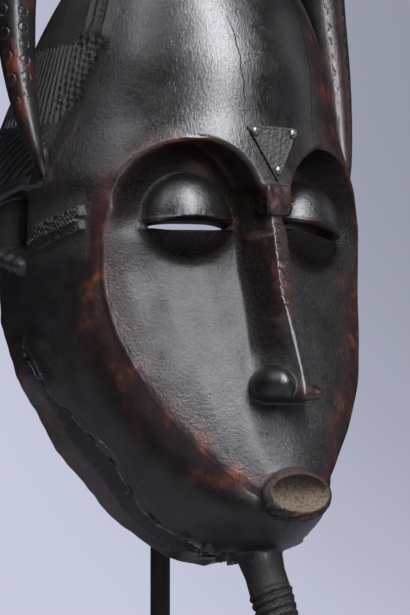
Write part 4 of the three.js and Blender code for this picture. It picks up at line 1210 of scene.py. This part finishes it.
def mask_marks(mesh, points, normals):
    """Surface marks that the material reads: worn edges, sheltered places, crust and dust, painted shade in
    recesses and on faces turned from the light, and a painted highlight along the teeth
    """
    places = mark_places(*points.T)
    mark = {name: MARK_SHARE.get(name, 1.0) * steps_product(places, name) for name in STEPS}
    front = (places["behind_face"] < FRONT_DEPTH) * (1 - mark["inside"])

    brow = mark["brow"] * front * mix(LEAST["brow_middle"], 1.0, mark["brow_side"])
    brow = np.maximum(np.maximum(brow, mark["left_forehead"]), mark["lid_edge"] * mark["dome"])
    # Painted shade: the socket mark darkens the brow's recess and the underside of each lower lid. The gouge
    # at the hairline, the ear's slot, the nose's flanks and the cove under the cheek ridge join it.
    socket = np.maximum(mark["socket"] * (1 - mark["dome"]), mark["under_lid"])
    for shade in ("hair_edge", "ear_slot", "nose_flank", "cheek_ridge"):
        socket = np.maximum(socket, mark[shade])
    open_air = evaluate(mask_distance, points + normals * SHELTER_REACH) / SHELTER_REACH
    wood = -evaluate(mask_distance, points - normals * SHELTER_REACH) / SHELTER_REACH
    scuff = mark["scuff"] * np.maximum(mark["scuff_full"], LEAST["scuff"])
    marks = {
        "shelter": np.clip(1 - open_air, 0, 1), "edge": np.clip(1 - wood, 0, 1), "inside": mark["inside"],
        "panel": mark["panel"], "brow_wear": brow, "socket": socket * (1 - mark["inside"]),
        "cheek_wear": np.maximum(mark["cheek"], mark["left_cheek"]) * front,
        "nose_wear": np.maximum(mark["nose_tip"], mark["nose_bridge"]), "lips": mark["lips"],
        "mouth": mark["mouth"], "strip_wear": mark["strip"],
        # The flange mark is painted shade on the flange below the teeth, which turns away from the light.
        "flange": mark["flange"] * mark["near_rim"] * (1 - mark["strip"]), "tooth_line": mark["teeth"],
        "hair": mark["hair"] * (1 - mark["horn"]), "horn": mark["horn"], "horn_scuff": scuff * mark["horn"],
        "forehead": mark["forehead"], "temple": mark["temple"], "beard": mark["beard"],
    }
    for name, values in marks.items():
        set_attribute(mesh, name, values)


# Materials
class Nodes:
    """Small helper that adds and links shader nodes"""

    def __init__(self, name):
        self.material = bpy.data.materials.new(name)
        self.material.use_nodes = True
        self.tree = self.material.node_tree
        self.tree.nodes.clear()

    def add(self, kind, inputs=None, **settings):
        node = self.tree.nodes.new(kind)
        for name, value in settings.items():
            setattr(node, name, value)
        for key, value in (inputs or {}).items():
            if isinstance(value, bpy.types.NodeSocket):
                self.tree.links.new(value, node.inputs[key])
            else:
                node.inputs[key].default_value = value
        return node

    def math(self, operation, a, b=0.0, clamp=False):
        node = self.add("ShaderNodeMath", {0: a, 1: b}, operation=operation, use_clamp=clamp)
        return node.outputs[0]

    def times(self, first, *others):
        for value in others:
            first = self.math("MULTIPLY", first, value)
        return first

    def most(self, first, *others):
        for value in others:
            first = self.math("MAXIMUM", first, value)
        return first

    def plus(self, a, b):
        return self.math("ADD", a, b)

    def ramp(self, value, low, high, to_low=0.0, to_high=1.0):
        node = self.add("ShaderNodeMapRange", {0: value, 1: low, 2: high, 3: to_low, 4: to_high},
                        interpolation_type="SMOOTHSTEP")
        return node.outputs[0]

    def blend(self, share, a, b):
        node = self.add("ShaderNodeMix", {0: share, 6: a, 7: b}, data_type="RGBA")
        return node.outputs[2]

    def tones(self, share, pair):
        return self.blend(share, *[colour(*tone) for tone in pair])

    def noise(self, where, scale, detail=4.0, roughness=0.55):
        node = self.add("ShaderNodeTexNoise", {"Vector": where, "Scale": scale, "Detail": detail,
                                               "Roughness": roughness})
        return node.outputs[0]

    def attribute(self, name):
        return self.add("ShaderNodeAttribute", attribute_name=name).outputs["Fac"]

    def stretched(self, where, scale):
        return self.add("ShaderNodeMapping", {"Vector": where, "Scale": scale}).outputs[0]

    def bump(self, height, strength, distance, under=None):
        inputs = {"Height": height, "Strength": strength, "Distance": distance}
        if under is not None:
            inputs["Normal"] = under
        return self.add("ShaderNodeBump", inputs).outputs[0]

    def line_mark(self, where, x0, z0, x1, z1, width):
        """1 on a wavering line seen from the front, between two places in the mask's millimetres"""
        parts = self.add("ShaderNodeSeparateXYZ", {"Vector": where}).outputs
        across, up = parts["X"], parts["Z"]
        low, high = sorted((to_metres((0, 0, z0))[2], to_metres((0, 0, z1))[2]))
        lean = (x1 - x0) / (z1 - z0)
        waver = self.times(self.plus(self.noise(self.stretched(where, (0, 0, 1)), 90.0, 3.0), -0.5), 0.004)
        middle = self.plus(self.times(self.plus(up, -to_metres((0, 0, z0))[2]), lean), x0 * MM)
        off = self.math("ABSOLUTE", self.plus(self.plus(across, self.times(middle, -1.0)), waver))
        line = self.ramp(off, width * 0.4 * MM, width * MM, 1.0, 0.0)
        ends = self.times(self.ramp(up, low, low + 0.004), self.ramp(up, high - 0.012, high, 1.0, 0.0))
        return self.times(line, ends)

    def finish(self, shader):
        self.add("ShaderNodeOutputMaterial", {"Surface": shader})
        return self.material


def colour(red, green, blue):
    """Linear colour from 0-255 display values"""
    def linear(value):
        share = value / 255
        return share / 12.92 if share <= 0.04045 else ((share + 0.055) / 1.055) ** 2.4
    return (linear(red), linear(green), linear(blue), 1.0)


# Tones of the wood as display values: one, or the two ends of a mix
WOOD_TONES = {
    "patina": ((11, 10, 11), (22, 18, 18)),
    "grain": (32, 24, 20),
    "crust": (24, 22, 20),
    # Painted shade, laid in the recesses, on the nose's flanks and on the flange
    "painted_shade_tones": ((7, 6, 6), (28, 18, 13)),
    # Painted highlight along the teeth's edges, where they catch the light
    "tooth_edge_glint": (92, 86, 78),
    "lip_wear": (84, 62, 50),
    "worn": ((46, 17, 9), (108, 48, 17)),
    "dust": (74, 62, 48),
    "mouth": ((56, 46, 38), (104, 90, 74)),
    "bare": ((58, 42, 32), (86, 66, 50)),
    "crack": (2, 2, 2),
}
# Noises of the wood: how fine, how detailed, how rough, and how it is stretched
WOOD_NOISES = {
    "grain": (900.0, 5.0, 0.55, (1.0, 1.0, 0.16)),
    "clouds": (45.0, 4.0, 0.55, (1.0, 1.0, 1.0)),
    "patches": (95.0, 4.0, 0.6, (1.0, 1.0, 1.0)),
    "fine": (700.0, 4.0, 0.6, (1.0, 1.0, 1.0)),
    "wrinkles": (620.0, 5.0, 0.66, (0.8, 0.8, 1.0)),
    "streaks": (950.0, 4.0, 0.6, (1.0, 1.0, 0.35)),
    "pores": (1500.0, 3.0, 0.6, (1.0, 1.0, 0.22)),
    "crust": (1300.0, 3.0, 0.7, (1.0, 1.0, 1.0)),
}
# Wear: the mark, the range of the patches that lets it through, and the least of it
WEAR = {"brow_wear": (0.25, 0.52, 0.15), "cheek_wear": (0.28, 0.56, 0.12), "strip_wear": (0.25, 0.55, 0.1)}
CRACKLE_SCALE = 560.0


def wood_fields(n):
    """What the wood's colour, gloss and relief are worked out from: places, noises and marks"""
    where = n.add("ShaderNodeTexCoord").outputs["Object"]
    fields = {"where": where, "height": n.add("ShaderNodeSeparateXYZ", {"Vector": where}).outputs["Z"]}
    for name, (scale, detail, roughness, stretch) in WOOD_NOISES.items():
        fields["noise_" + name] = n.noise(n.stretched(where, stretch), scale, detail, roughness)
    for name in ("shelter", "inside", "mouth", "panel", "lips", "horn"):
        fields[name] = n.attribute(name)
    rough = (n.attribute("hair"), n.times(n.attribute("beard"), 0.7), n.times(n.attribute("temple"), 0.6))
    fields["dull"] = n.most(*rough, fields["lips"])
    # Painted shade: the socket mark, with the flange's at half strength, darkens the colour and weakens the
    # shine.
    fields["shade"] = n.most(n.attribute("socket"), n.times(n.attribute("flange"), 0.5))
    lines = [n.line_mark(where, x0, z0, x1, z1, width) for (x0, z0), (x1, z1), width in CRACKS]
    fields["crack"] = n.times(n.attribute("forehead"), n.most(*lines))
    return fields


def wood_wear(n, fields):
    """How far the wood is worn to orange brown: brows, cheeks, rim, nose and horns"""
    fine, patches = fields["noise_fine"], fields["noise_patches"]
    parts = [n.times(n.attribute(name), n.ramp(patches, low, high, least, 1.0))
             for name, (low, high, least) in WEAR.items()]
    parts.append(n.times(n.attribute("nose_wear"), 0.9))
    horn_edges = n.ramp(fields["noise_clouds"], 0.5, 0.7, 0.0, 0.9)
    parts.append(n.times(fields["horn"], n.attribute("edge"), horn_edges))
    parts.append(n.times(n.attribute("horn_scuff"), n.ramp(fine, 0.3, 0.55, 0.5, 1.0)))
    worn = n.times(n.most(*parts), n.ramp(fields["noise_grain"], 0.25, 0.6, 0.55, 1.0))
    return n.math("MULTIPLY", worn, 0.85, True)


def wood_colour(n, fields):
    """Near-black patina under grain, painted shade, a painted highlight on the teeth, wear, dust and bare
    wood, laid on one after another
    """
    fine, grain, patches = [fields["noise_" + name] for name in ("fine", "grain", "patches")]
    tones = WOOD_TONES
    # Tan inside the mouth at full strength low down, faint higher up: painted shade under the upper lip
    tan_below_shade = n.ramp(fields["height"], MOUTH_SHADE_LINE["low"], MOUTH_SHADE_LINE["high"], 1.0, 0.25)
    dusty = n.times(n.ramp(fields["shelter"], 0.3, 0.85), n.ramp(fine, 0.45, 0.62), 0.3)
    layers = [
        (n.times(n.ramp(grain, 0.5, 0.75), 0.4), colour(*tones["grain"])),
        (n.times(fields["dull"], 0.5), colour(*tones["crust"])),
        # Painted shade in the recesses, on the nose's flanks and on the flange
        (n.times(fields["shade"], 0.8), n.tones(n.ramp(fine, 0.42, 0.66), tones["painted_shade_tones"])),
        # Painted highlight: a pale line along the teeth's edges
        (n.times(n.attribute("tooth_line"), 0.6, n.ramp(fine, 0.35, 0.6)), colour(*tones["tooth_edge_glint"])),
        (n.times(fields["lips"], 0.4, n.ramp(fine, 0.5, 0.62)), colour(*tones["lip_wear"])),
        (wood_wear(n, fields), n.tones(n.ramp(patches, 0.52, 0.72), tones["worn"])),
        (dusty, colour(*tones["dust"])),
        (n.times(fields["mouth"], 0.9, tan_below_shade), n.tones(n.ramp(fine, 0.3, 0.6), tones["mouth"])),
        (n.times(fields["inside"], 0.9), n.tones(n.ramp(grain, 0.3, 0.7), tones["bare"])),
        (fields["crack"], colour(*tones["crack"])),
    ]
    base = n.tones(n.ramp(fields["noise_clouds"], 0.35, 0.7), tones["patina"])
    for share, tone in layers:
        base = n.blend(share, base, tone)
    return base


def wood_roughness(n, fields):
    rough = n.ramp(fields["noise_patches"], 0.3, 0.7, 0.26, 0.36)
    rough = n.plus(rough, n.times(fields["shelter"], 0.35))
    rough = n.plus(rough, n.times(n.most(fields["dull"], fields["shade"]), 0.22))
    return n.plus(rough, n.times(n.most(fields["inside"], fields["mouth"]), 0.3))


def wood_gloss(n, fields):
    """The wax's shine: strong low on the cheeks, weak in the painted shade and the crust, none in a crack"""
    lower_cheek = n.ramp(fields["height"], CHEEK_GLOSS["from"], CHEEK_GLOSS["to"], 1.3, 0.74)
    return n.times(
        n.ramp(fields["dull"], 0.0, 1.0, 0.6, 0.4),
        n.ramp(fields["shade"], 0.0, 1.0, 1.0, 0.22),
        n.ramp(fields["crack"], 0.0, 1.0, 1.0, 0.0),
        n.plus(1.0, n.times(fields["panel"], n.plus(lower_cheek, -1.0))),
        n.ramp(fields["horn"], 0.0, 1.0, 1.0, 0.8),
        n.ramp(fields["noise_patches"], 0.25, 0.75, 0.8, 1.15),
    )


def wood_relief(n, fields):
    """Fine relief: wrinkles and crackle of the wax, streaks and pores of the grain, crust"""
    cells = n.add("ShaderNodeTexVoronoi", {"Vector": fields["where"], "Scale": CRACKLE_SCALE},
                  feature="DISTANCE_TO_EDGE").outputs["Distance"]
    smoother = n.ramp(fields["height"], WAX["from"], WAX["to"], 0.32, 0.12)
    crust = n.most(fields["dull"], fields["mouth"])
    layers = [
        (n.times(fields["noise_wrinkles"], n.most(smoother, fields["panel"])), 0.8, 0.0011),
        (n.times(n.ramp(cells, 0.0, 0.12), fields["panel"]), 0.2, 0.0004),
        (fields["noise_streaks"], 0.3, 0.0006),
        (n.ramp(fields["noise_pores"], 0.58, 0.68, 1.0, 0.0), 0.16, 0.0004),
        (n.times(fields["noise_crust"], crust), 0.6, 0.0012),
    ]
    normal = None
    for height, strength, distance in layers:
        normal = n.bump(height, strength, distance, normal)
    return normal


def carved_wood():
    """Near-black wood with a waxed patina, worn to orange brown on its edges"""
    n = Nodes("carved_wood")
    fields = wood_fields(n)
    coat = n.times(n.ramp(fields["shade"], 0.0, 1.0, 0.12, 0.0), n.ramp(fields["dull"], 0.0, 1.0, 1.0, 0.0))
    shader = n.add("ShaderNodeBsdfPrincipled", {
        "Base Color": wood_colour(n, fields), "Roughness": wood_roughness(n, fields), "IOR": 1.5,
        "Specular IOR Level": wood_gloss(n, fields), "Normal": wood_relief(n, fields),
        "Coat Weight": coat, "Coat Roughness": 0.22,
    })
    return n.finish(shader.outputs[0])


def plate_metal():
    """Blackened, pitted sheet metal"""
    n = Nodes("plate_metal")
    where = n.add("ShaderNodeTexCoord").outputs["Object"]
    grit = n.noise(where, 1500.0, 4.0, 0.65)
    clouds = n.noise(where, 260.0, 4.0)
    base = n.blend(n.ramp(grit, 0.4, 0.65), colour(40, 40, 40), colour(84, 82, 78))
    base = n.blend(n.times(n.ramp(clouds, 0.5, 0.7), 0.5), base, colour(62, 52, 42))
    rough = n.ramp(grit, 0.3, 0.7, 0.35, 0.6)
    normal = n.bump(grit, 0.7, 0.0008)
    shader = n.add("ShaderNodeBsdfPrincipled", {"Base Color": base, "Roughness": rough, "Normal": normal,
                                                "Metallic": 0.55})
    return n.finish(shader.outputs[0])


def nail_metal():
    n = Nodes("nail_metal")
    where = n.add("ShaderNodeTexCoord").outputs["Object"]
    grit = n.noise(where, 1200.0, 3.0)
    base = n.blend(n.ramp(grit, 0.35, 0.65), colour(70, 66, 60), colour(140, 136, 128))
    rough = n.ramp(grit, 0.3, 0.7, 0.28, 0.5)
    shader = n.add("ShaderNodeBsdfPrincipled", {"Base Color": base, "Roughness": rough, "Metallic": 0.8,
                                                "Normal": n.bump(grit, 0.3, 0.0004)})
    return n.finish(shader.outputs[0])


def black_steel():
    """Satin black paint on steel"""
    n = Nodes("stand_steel")
    where = n.add("ShaderNodeTexCoord").outputs["Object"]
    speckle = n.noise(where, 1600.0, 3.0)
    clouds = n.noise(where, 40.0, 3.0)
    base = n.blend(n.ramp(clouds, 0.3, 0.7), colour(9, 9, 10), colour(17, 17, 18))
    rough = n.ramp(clouds, 0.3, 0.7, 0.38, 0.5)
    shader = n.add("ShaderNodeBsdfPrincipled", {"Base Color": base, "Roughness": rough,
                                                "Normal": n.bump(speckle, 0.15, 0.0003)})
    return n.finish(shader.outputs[0])


WOOD = carved_wood()
PLATE_FINISH = plate_metal()
NAIL_FINISH = nail_metal()
STEEL = black_steel()


def dress(piece, material, node):
    piece.data.materials.clear()
    piece.data.materials.append(material)
    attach(piece, "root")
    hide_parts(node)


def build_mask():
    mesh, points, normals = carved_piece("mask", mask_distance, FIELD_LOW, FIELD_HIGH, VOXEL, MASK_TRIANGLES)
    mask_marks(mesh, points, normals)
    dress(place_mesh("carved_mask", mesh), WOOD, "mask")


# Forehead plate: thin metal that follows the brow, with a rolled edge and a beaten surface
def triangle_distance(x, z):
    """Distance to the plate's outline, negative inside"""
    top = z - PLATE["top"]
    slope = math.atan2(PLATE["half_width"], PLATE["top"] - PLATE["tip"])
    side = (np.abs(x) * math.cos(slope)) - (z - PLATE["tip"]) * math.sin(slope)
    return smax(top, side, 1.2)


def plate_distance(x, y, z):
    skin = section_distance(HEAD_FORM, x, y, z)
    edge = triangle_distance(x, z)
    rolled = 0.35 * np.exp(-((edge + 0.9) / 0.6) ** 2)
    beaten = 0.16 * ripple(x, y, z, 1.3, 31) + 0.12 * ripple(x, y, z, 3.0, 33)
    front = skin - (PLATE["gap"] + PLATE["thickness"] - 0.25 + rolled + beaten * smooth(-edge))
    return smax(smax(front, PLATE["gap"] - skin, 0.3), edge + 0.15, 0.3)


def build_plate():
    room = 3.0
    across = PLATE["half_width"] + room
    low, high = (-across, -104.0, PLATE["tip"] - room - 1), (across, -84.0, PLATE["top"] + room + 0.5)
    mesh, _, _ = carved_piece("forehead_plate", plate_distance, low, high, VOXEL * 0.5, PLATE_TRIANGLES)
    dress(place_mesh("brow_plate", mesh), PLATE_FINISH, "forehead_plate")


def lathed(name, profile, around, place):
    """Closed form turned about the y axis from (radius, forward) pairs, ends on the axis"""
    rings = []
    for radius, forward in profile[1:-1]:
        turn = np.linspace(0, 2 * math.pi, around, endpoint=False)
        rings.append(np.stack([radius * np.cos(turn), np.full(around, -forward), radius * np.sin(turn)], 1))
    points = np.vstack([[0, -profile[0][1], 0], *rings, [0, -profile[-1][1], 0]])
    faces = []
    for k in range(around):
        j = (k + 1) % around
        faces.append((0, 1 + k, 1 + j))
        for ring in range(len(rings) - 1):
            a, b = 1 + ring * around, 1 + (ring + 1) * around
            faces.append((a + k, b + k, b + j, a + j))
        last = 1 + (len(rings) - 1) * around
        faces.append((last + k, len(points) - 1, last + j))
    mesh = bpy.data.meshes.new(name)
    mesh.from_pydata([tuple(p) for p in to_metres(points + place)], [], faces)
    mesh.validate()
    mesh.shade_smooth()
    return mesh


def build_nails():
    nail_x = PLATE["half_width"] - NAIL["inset"]
    top = PLATE["top"] - NAIL["inset_top"]
    bottom = PLATE["tip"] + NAIL["inset_tip"]
    places = {"left": (-nail_x, top), "right": (nail_x, top), "bottom": (0.0, bottom)}
    base = PLATE["gap"] + PLATE["thickness"] + NAIL["gap"]
    radius, height = NAIL["radius"], NAIL["height"]
    curve = [(math.cos(angle), math.sin(angle)) for angle in np.linspace(0, math.pi / 2, 7)]
    profile = [(0, 0), (radius * 0.92, 0)]
    profile += [(radius * c, height * (0.15 + 0.84 * s)) for c, s in curve]
    profile[-1] = (0, height * 0.99)
    for side, (x, z) in places.items():
        depth = float(head_y(np.array([x]), np.array([z]))[0]) - base
        mesh = lathed("nail_" + side, profile, 24, np.array([x, depth, z]))
        dress(place_mesh("brow_nail_" + side, mesh), NAIL_FINISH, "plate_nail_" + side)


# Stand
def tube_mesh(middle_line, form):
    """Points and faces of a round bar along its middle line, with slightly rounded ends"""
    line, tangent, along = middle_line
    radius, sides, bevel = form["radius"] * BAR_INSET, form["sides"], form["bevel"]
    rings = []
    stations = [(0.0, radius - bevel), (bevel, radius)]
    stations += [(place, radius) for place in np.linspace(bevel * 2, along[-1] - bevel * 2, form["rings"])]
    stations += [(along[-1] - bevel, radius), (along[-1], radius - bevel)]
    for place, size in stations:
        centre = np.array([np.interp(place, along, line[:, k]) for k in range(3)])
        direction = np.array([np.interp(place, along, tangent[:, k]) for k in range(3)])
        helper = np.array([0.0, 0.0, 1.0]) if abs(direction[0]) > 0.5 else np.array([1.0, 0.0, 0.0])
        first = helper - direction * (helper @ direction)
        first /= np.linalg.norm(first)
        second = np.cross(direction, first)
        turn = np.linspace(0, 2 * math.pi, sides, endpoint=False)[:, None]
        rings.append(centre + size * (first * np.cos(turn) + second * np.sin(turn)))
    faces = []
    for ring in range(len(rings) - 1):
        for k in range(sides):
            j = (k + 1) % sides
            a, b = ring * sides, (ring + 1) * sides
            faces.append((a + k, a + j, b + j, b + k))
    faces.append(tuple(range(sides))[::-1])
    faces.append(tuple((len(rings) - 1) * sides + k for k in range(sides)))
    return np.vstack(rings), faces


def build_rod():
    bottom = FOOT["thickness"] + ROD["gap"]
    rod = smooth_line([(0, ROD["y"], mix(bottom, ROD["top"], share)) for share in (0, 0.3, 0.7, 1)], 40)
    arms = smooth_line([
        (CRADLE["half_span"] * side, mix(ROD["y"], CRADLE["front_y"], side ** 2), CRADLE["z"])
        for side in (-1, -0.7, 0, 0.7, 1)
    ], 60)
    upright = tube_mesh(rod, ROD)
    cradle = tube_mesh(arms, CRADLE)
    shift = len(upright[0])
    points = np.vstack([upright[0], cradle[0]])
    faces = upright[1] + [tuple(i + shift for i in face) for face in cradle[1]]
    mesh = bpy.data.meshes.new("rod")
    mesh.from_pydata([tuple(p) for p in points * MM], [], faces)
    mesh.validate()
    mesh.shade_smooth()
    mesh.set_sharp_from_angle(angle=math.radians(50))
    dress(place_mesh("display_rod", mesh), STEEL, "stand_rod")


def build_foot():
    half, height = FOOT["width"] / 2, FOOT["thickness"]
    square = ((-1, -1), (1, -1), (1, 1), (-1, 1))
    corners = [(sx * half, sy * half, z) for z in (0, height) for sx, sy in square]
    faces = [(3, 2, 1, 0), (4, 5, 6, 7)] + [(k, (k + 1) % 4, (k + 1) % 4 + 4, k + 4) for k in range(4)]
    mesh = bpy.data.meshes.new("foot")
    mesh.from_pydata([tuple(np.array(c) * MM) for c in corners], [], faces)
    piece = place_mesh("display_foot", mesh)
    bevel = piece.modifiers.new("eased_edges", "BEVEL")
    bevel.width = FOOT["bevel"] * MM
    bevel.segments = 3
    eased = bpy.data.meshes.new_from_object(piece.evaluated_get(bpy.context.evaluated_depsgraph_get()))
    bpy.data.objects.remove(piece)
    eased.shade_smooth()
    eased.set_sharp_from_angle(angle=math.radians(40))
    dress(place_mesh("display_foot", eased), STEEL, "stand_foot")


# Camera, light and floor
def build_camera():
    azimuth, elevation = math.radians(CAMERA["azimuth"]), math.radians(CAMERA["elevation"])
    back = Vector((math.sin(azimuth) * math.cos(elevation), -math.cos(azimuth) * math.cos(elevation),
                   math.sin(elevation)))
    right = Vector((math.cos(azimuth), math.sin(azimuth), 0))
    up = back.cross(right)
    data = bpy.data.cameras.new("camera")
    data.sensor_width = 36.0
    data.lens = FOCAL_PIXELS * data.sensor_width / PICTURE_HEIGHT
    camera = bpy.data.objects.new("camera", data)
    place = (Vector(CAMERA["target"]) + back * CAMERA["distance"]) * MM
    turn = Matrix((right, up, back)).transposed().to_4x4()
    camera.matrix_world = Matrix.Translation(place) @ turn
    bpy.context.collection.objects.link(camera)
    bpy.context.scene.camera = camera


# Soft boxes: [azimuth from the front, elevation, distance in metres, width, height, watts]
LIGHTS = {
    "front_box": (-9, 42, 1.7, 0.55, 1.9, 84),
    "left_box": (-82, 48, 1.6, 0.24, 1.0, 7),
    "right_fill": (75, 20, 2.2, 0.7, 1.4, 3),
    "back_top": (160, 60, 1.8, 1.0, 0.6, 10),
}
LIGHT_AIM = (0.0, 0.0, 0.33)
LIGHT_COLOUR = (0.93, 0.94, 1.0)
AMBIENT = 0.06
FLOOR = {"radius": 1.5, "sides": 96}  # metres
# Backdrop: its pale and its darker tone, where the darker one lies from the picture's middle, and how
# far from there it is full and gone, in degrees
BACKDROP = {"pale": (199, 201, 221), "dark": (146, 149, 164), "right": 0.17, "up": 0.10, "fade": (16, 2)}


def build_lights():
    for name, (azimuth, elevation, distance, width, height, watts) in LIGHTS.items():
        a, e = math.radians(azimuth), math.radians(elevation)
        away = Vector((math.sin(a) * math.cos(e), -math.cos(a) * math.cos(e), math.sin(e)))
        data = bpy.data.lights.new(name, "AREA")
        data.shape = "RECTANGLE"
        data.size = width
        data.size_y = height
        data.energy = watts
        data.color = LIGHT_COLOUR
        light = bpy.data.objects.new(name, data)
        light.location = Vector(LIGHT_AIM) + away * distance
        light.rotation_euler = away.to_track_quat("Z", "Y").to_euler()
        bpy.context.collection.objects.link(light)


def build_world():
    """Pale backdrop, a little darker to the upper right, and a dimmer light from all round"""
    world = bpy.data.worlds.new("studio")
    world.use_nodes = True
    bpy.context.scene.world = world
    tree = world.node_tree
    tree.nodes.clear()
    where = tree.nodes.new("ShaderNodeTexCoord")
    dark_side = tree.nodes.new("ShaderNodeVectorMath")
    dark_side.operation = "DOT_PRODUCT"
    tree.links.new(where.outputs["Generated"], dark_side.inputs[0])
    azimuth, elevation = math.radians(CAMERA["azimuth"]), math.radians(CAMERA["elevation"])
    ahead = Vector((-math.sin(azimuth) * math.cos(elevation), math.cos(azimuth) * math.cos(elevation),
                    -math.sin(elevation)))
    right = Vector((math.cos(azimuth), math.sin(azimuth), 0))
    corner = (ahead + BACKDROP["right"] * right + Vector((0, 0, BACKDROP["up"]))).normalized()
    dark_side.inputs[1].default_value = corner
    spread = tree.nodes.new("ShaderNodeMapRange")
    spread.interpolation_type = "SMOOTHSTEP"
    for socket, degrees in zip((1, 2), BACKDROP["fade"]):
        spread.inputs[socket].default_value = math.cos(math.radians(degrees))
    tree.links.new(dark_side.outputs["Value"], spread.inputs[0])
    tint = tree.nodes.new("ShaderNodeMix")
    tint.data_type = "RGBA"
    tint.inputs[6].default_value = colour(*BACKDROP["pale"])
    tint.inputs[7].default_value = colour(*BACKDROP["dark"])
    tree.links.new(spread.outputs[0], tint.inputs[0])
    seen = tree.nodes.new("ShaderNodeBackground")
    tree.links.new(tint.outputs[2], seen.inputs[0])
    around = tree.nodes.new("ShaderNodeBackground")
    around.inputs[0].default_value = colour(196, 200, 214)
    around.inputs[1].default_value = AMBIENT
    path = tree.nodes.new("ShaderNodeLightPath")
    either = tree.nodes.new("ShaderNodeMixShader")
    tree.links.new(path.outputs["Is Camera Ray"], either.inputs[0])
    tree.links.new(around.outputs[0], either.inputs[1])
    tree.links.new(seen.outputs[0], either.inputs[2])
    output = tree.nodes.new("ShaderNodeOutputWorld")
    tree.links.new(either.outputs[0], output.inputs[0])


def build_floor():
    n = Nodes("floor")
    where = n.add("ShaderNodeTexCoord").outputs["Object"]
    paper = n.noise(where, 30.0, 4.0)
    base = n.blend(n.ramp(paper, 0.3, 0.7), colour(124, 125, 133), colour(132, 133, 141))
    material = n.finish(n.add("ShaderNodeBsdfPrincipled", {"Base Color": base, "Roughness": 0.8}).outputs[0])
    turn = np.linspace(0, 2 * math.pi, FLOOR["sides"], endpoint=False)
    rim = [(FLOOR["radius"] * math.cos(a), FLOOR["radius"] * math.sin(a), 0.0) for a in turn]
    mesh = bpy.data.meshes.new("floor")
    mesh.from_pydata(rim, [], [tuple(range(FLOOR["sides"]))])
    mesh.materials.append(material)
    place_mesh("floor", mesh)


build_camera()
build_world()
build_lights()
build_floor()
build_mask()
build_plate()
build_nails()
build_rod()
build_foot()

view = bpy.context.scene.view_settings
view.view_transform = "Standard"
view.look = "None"
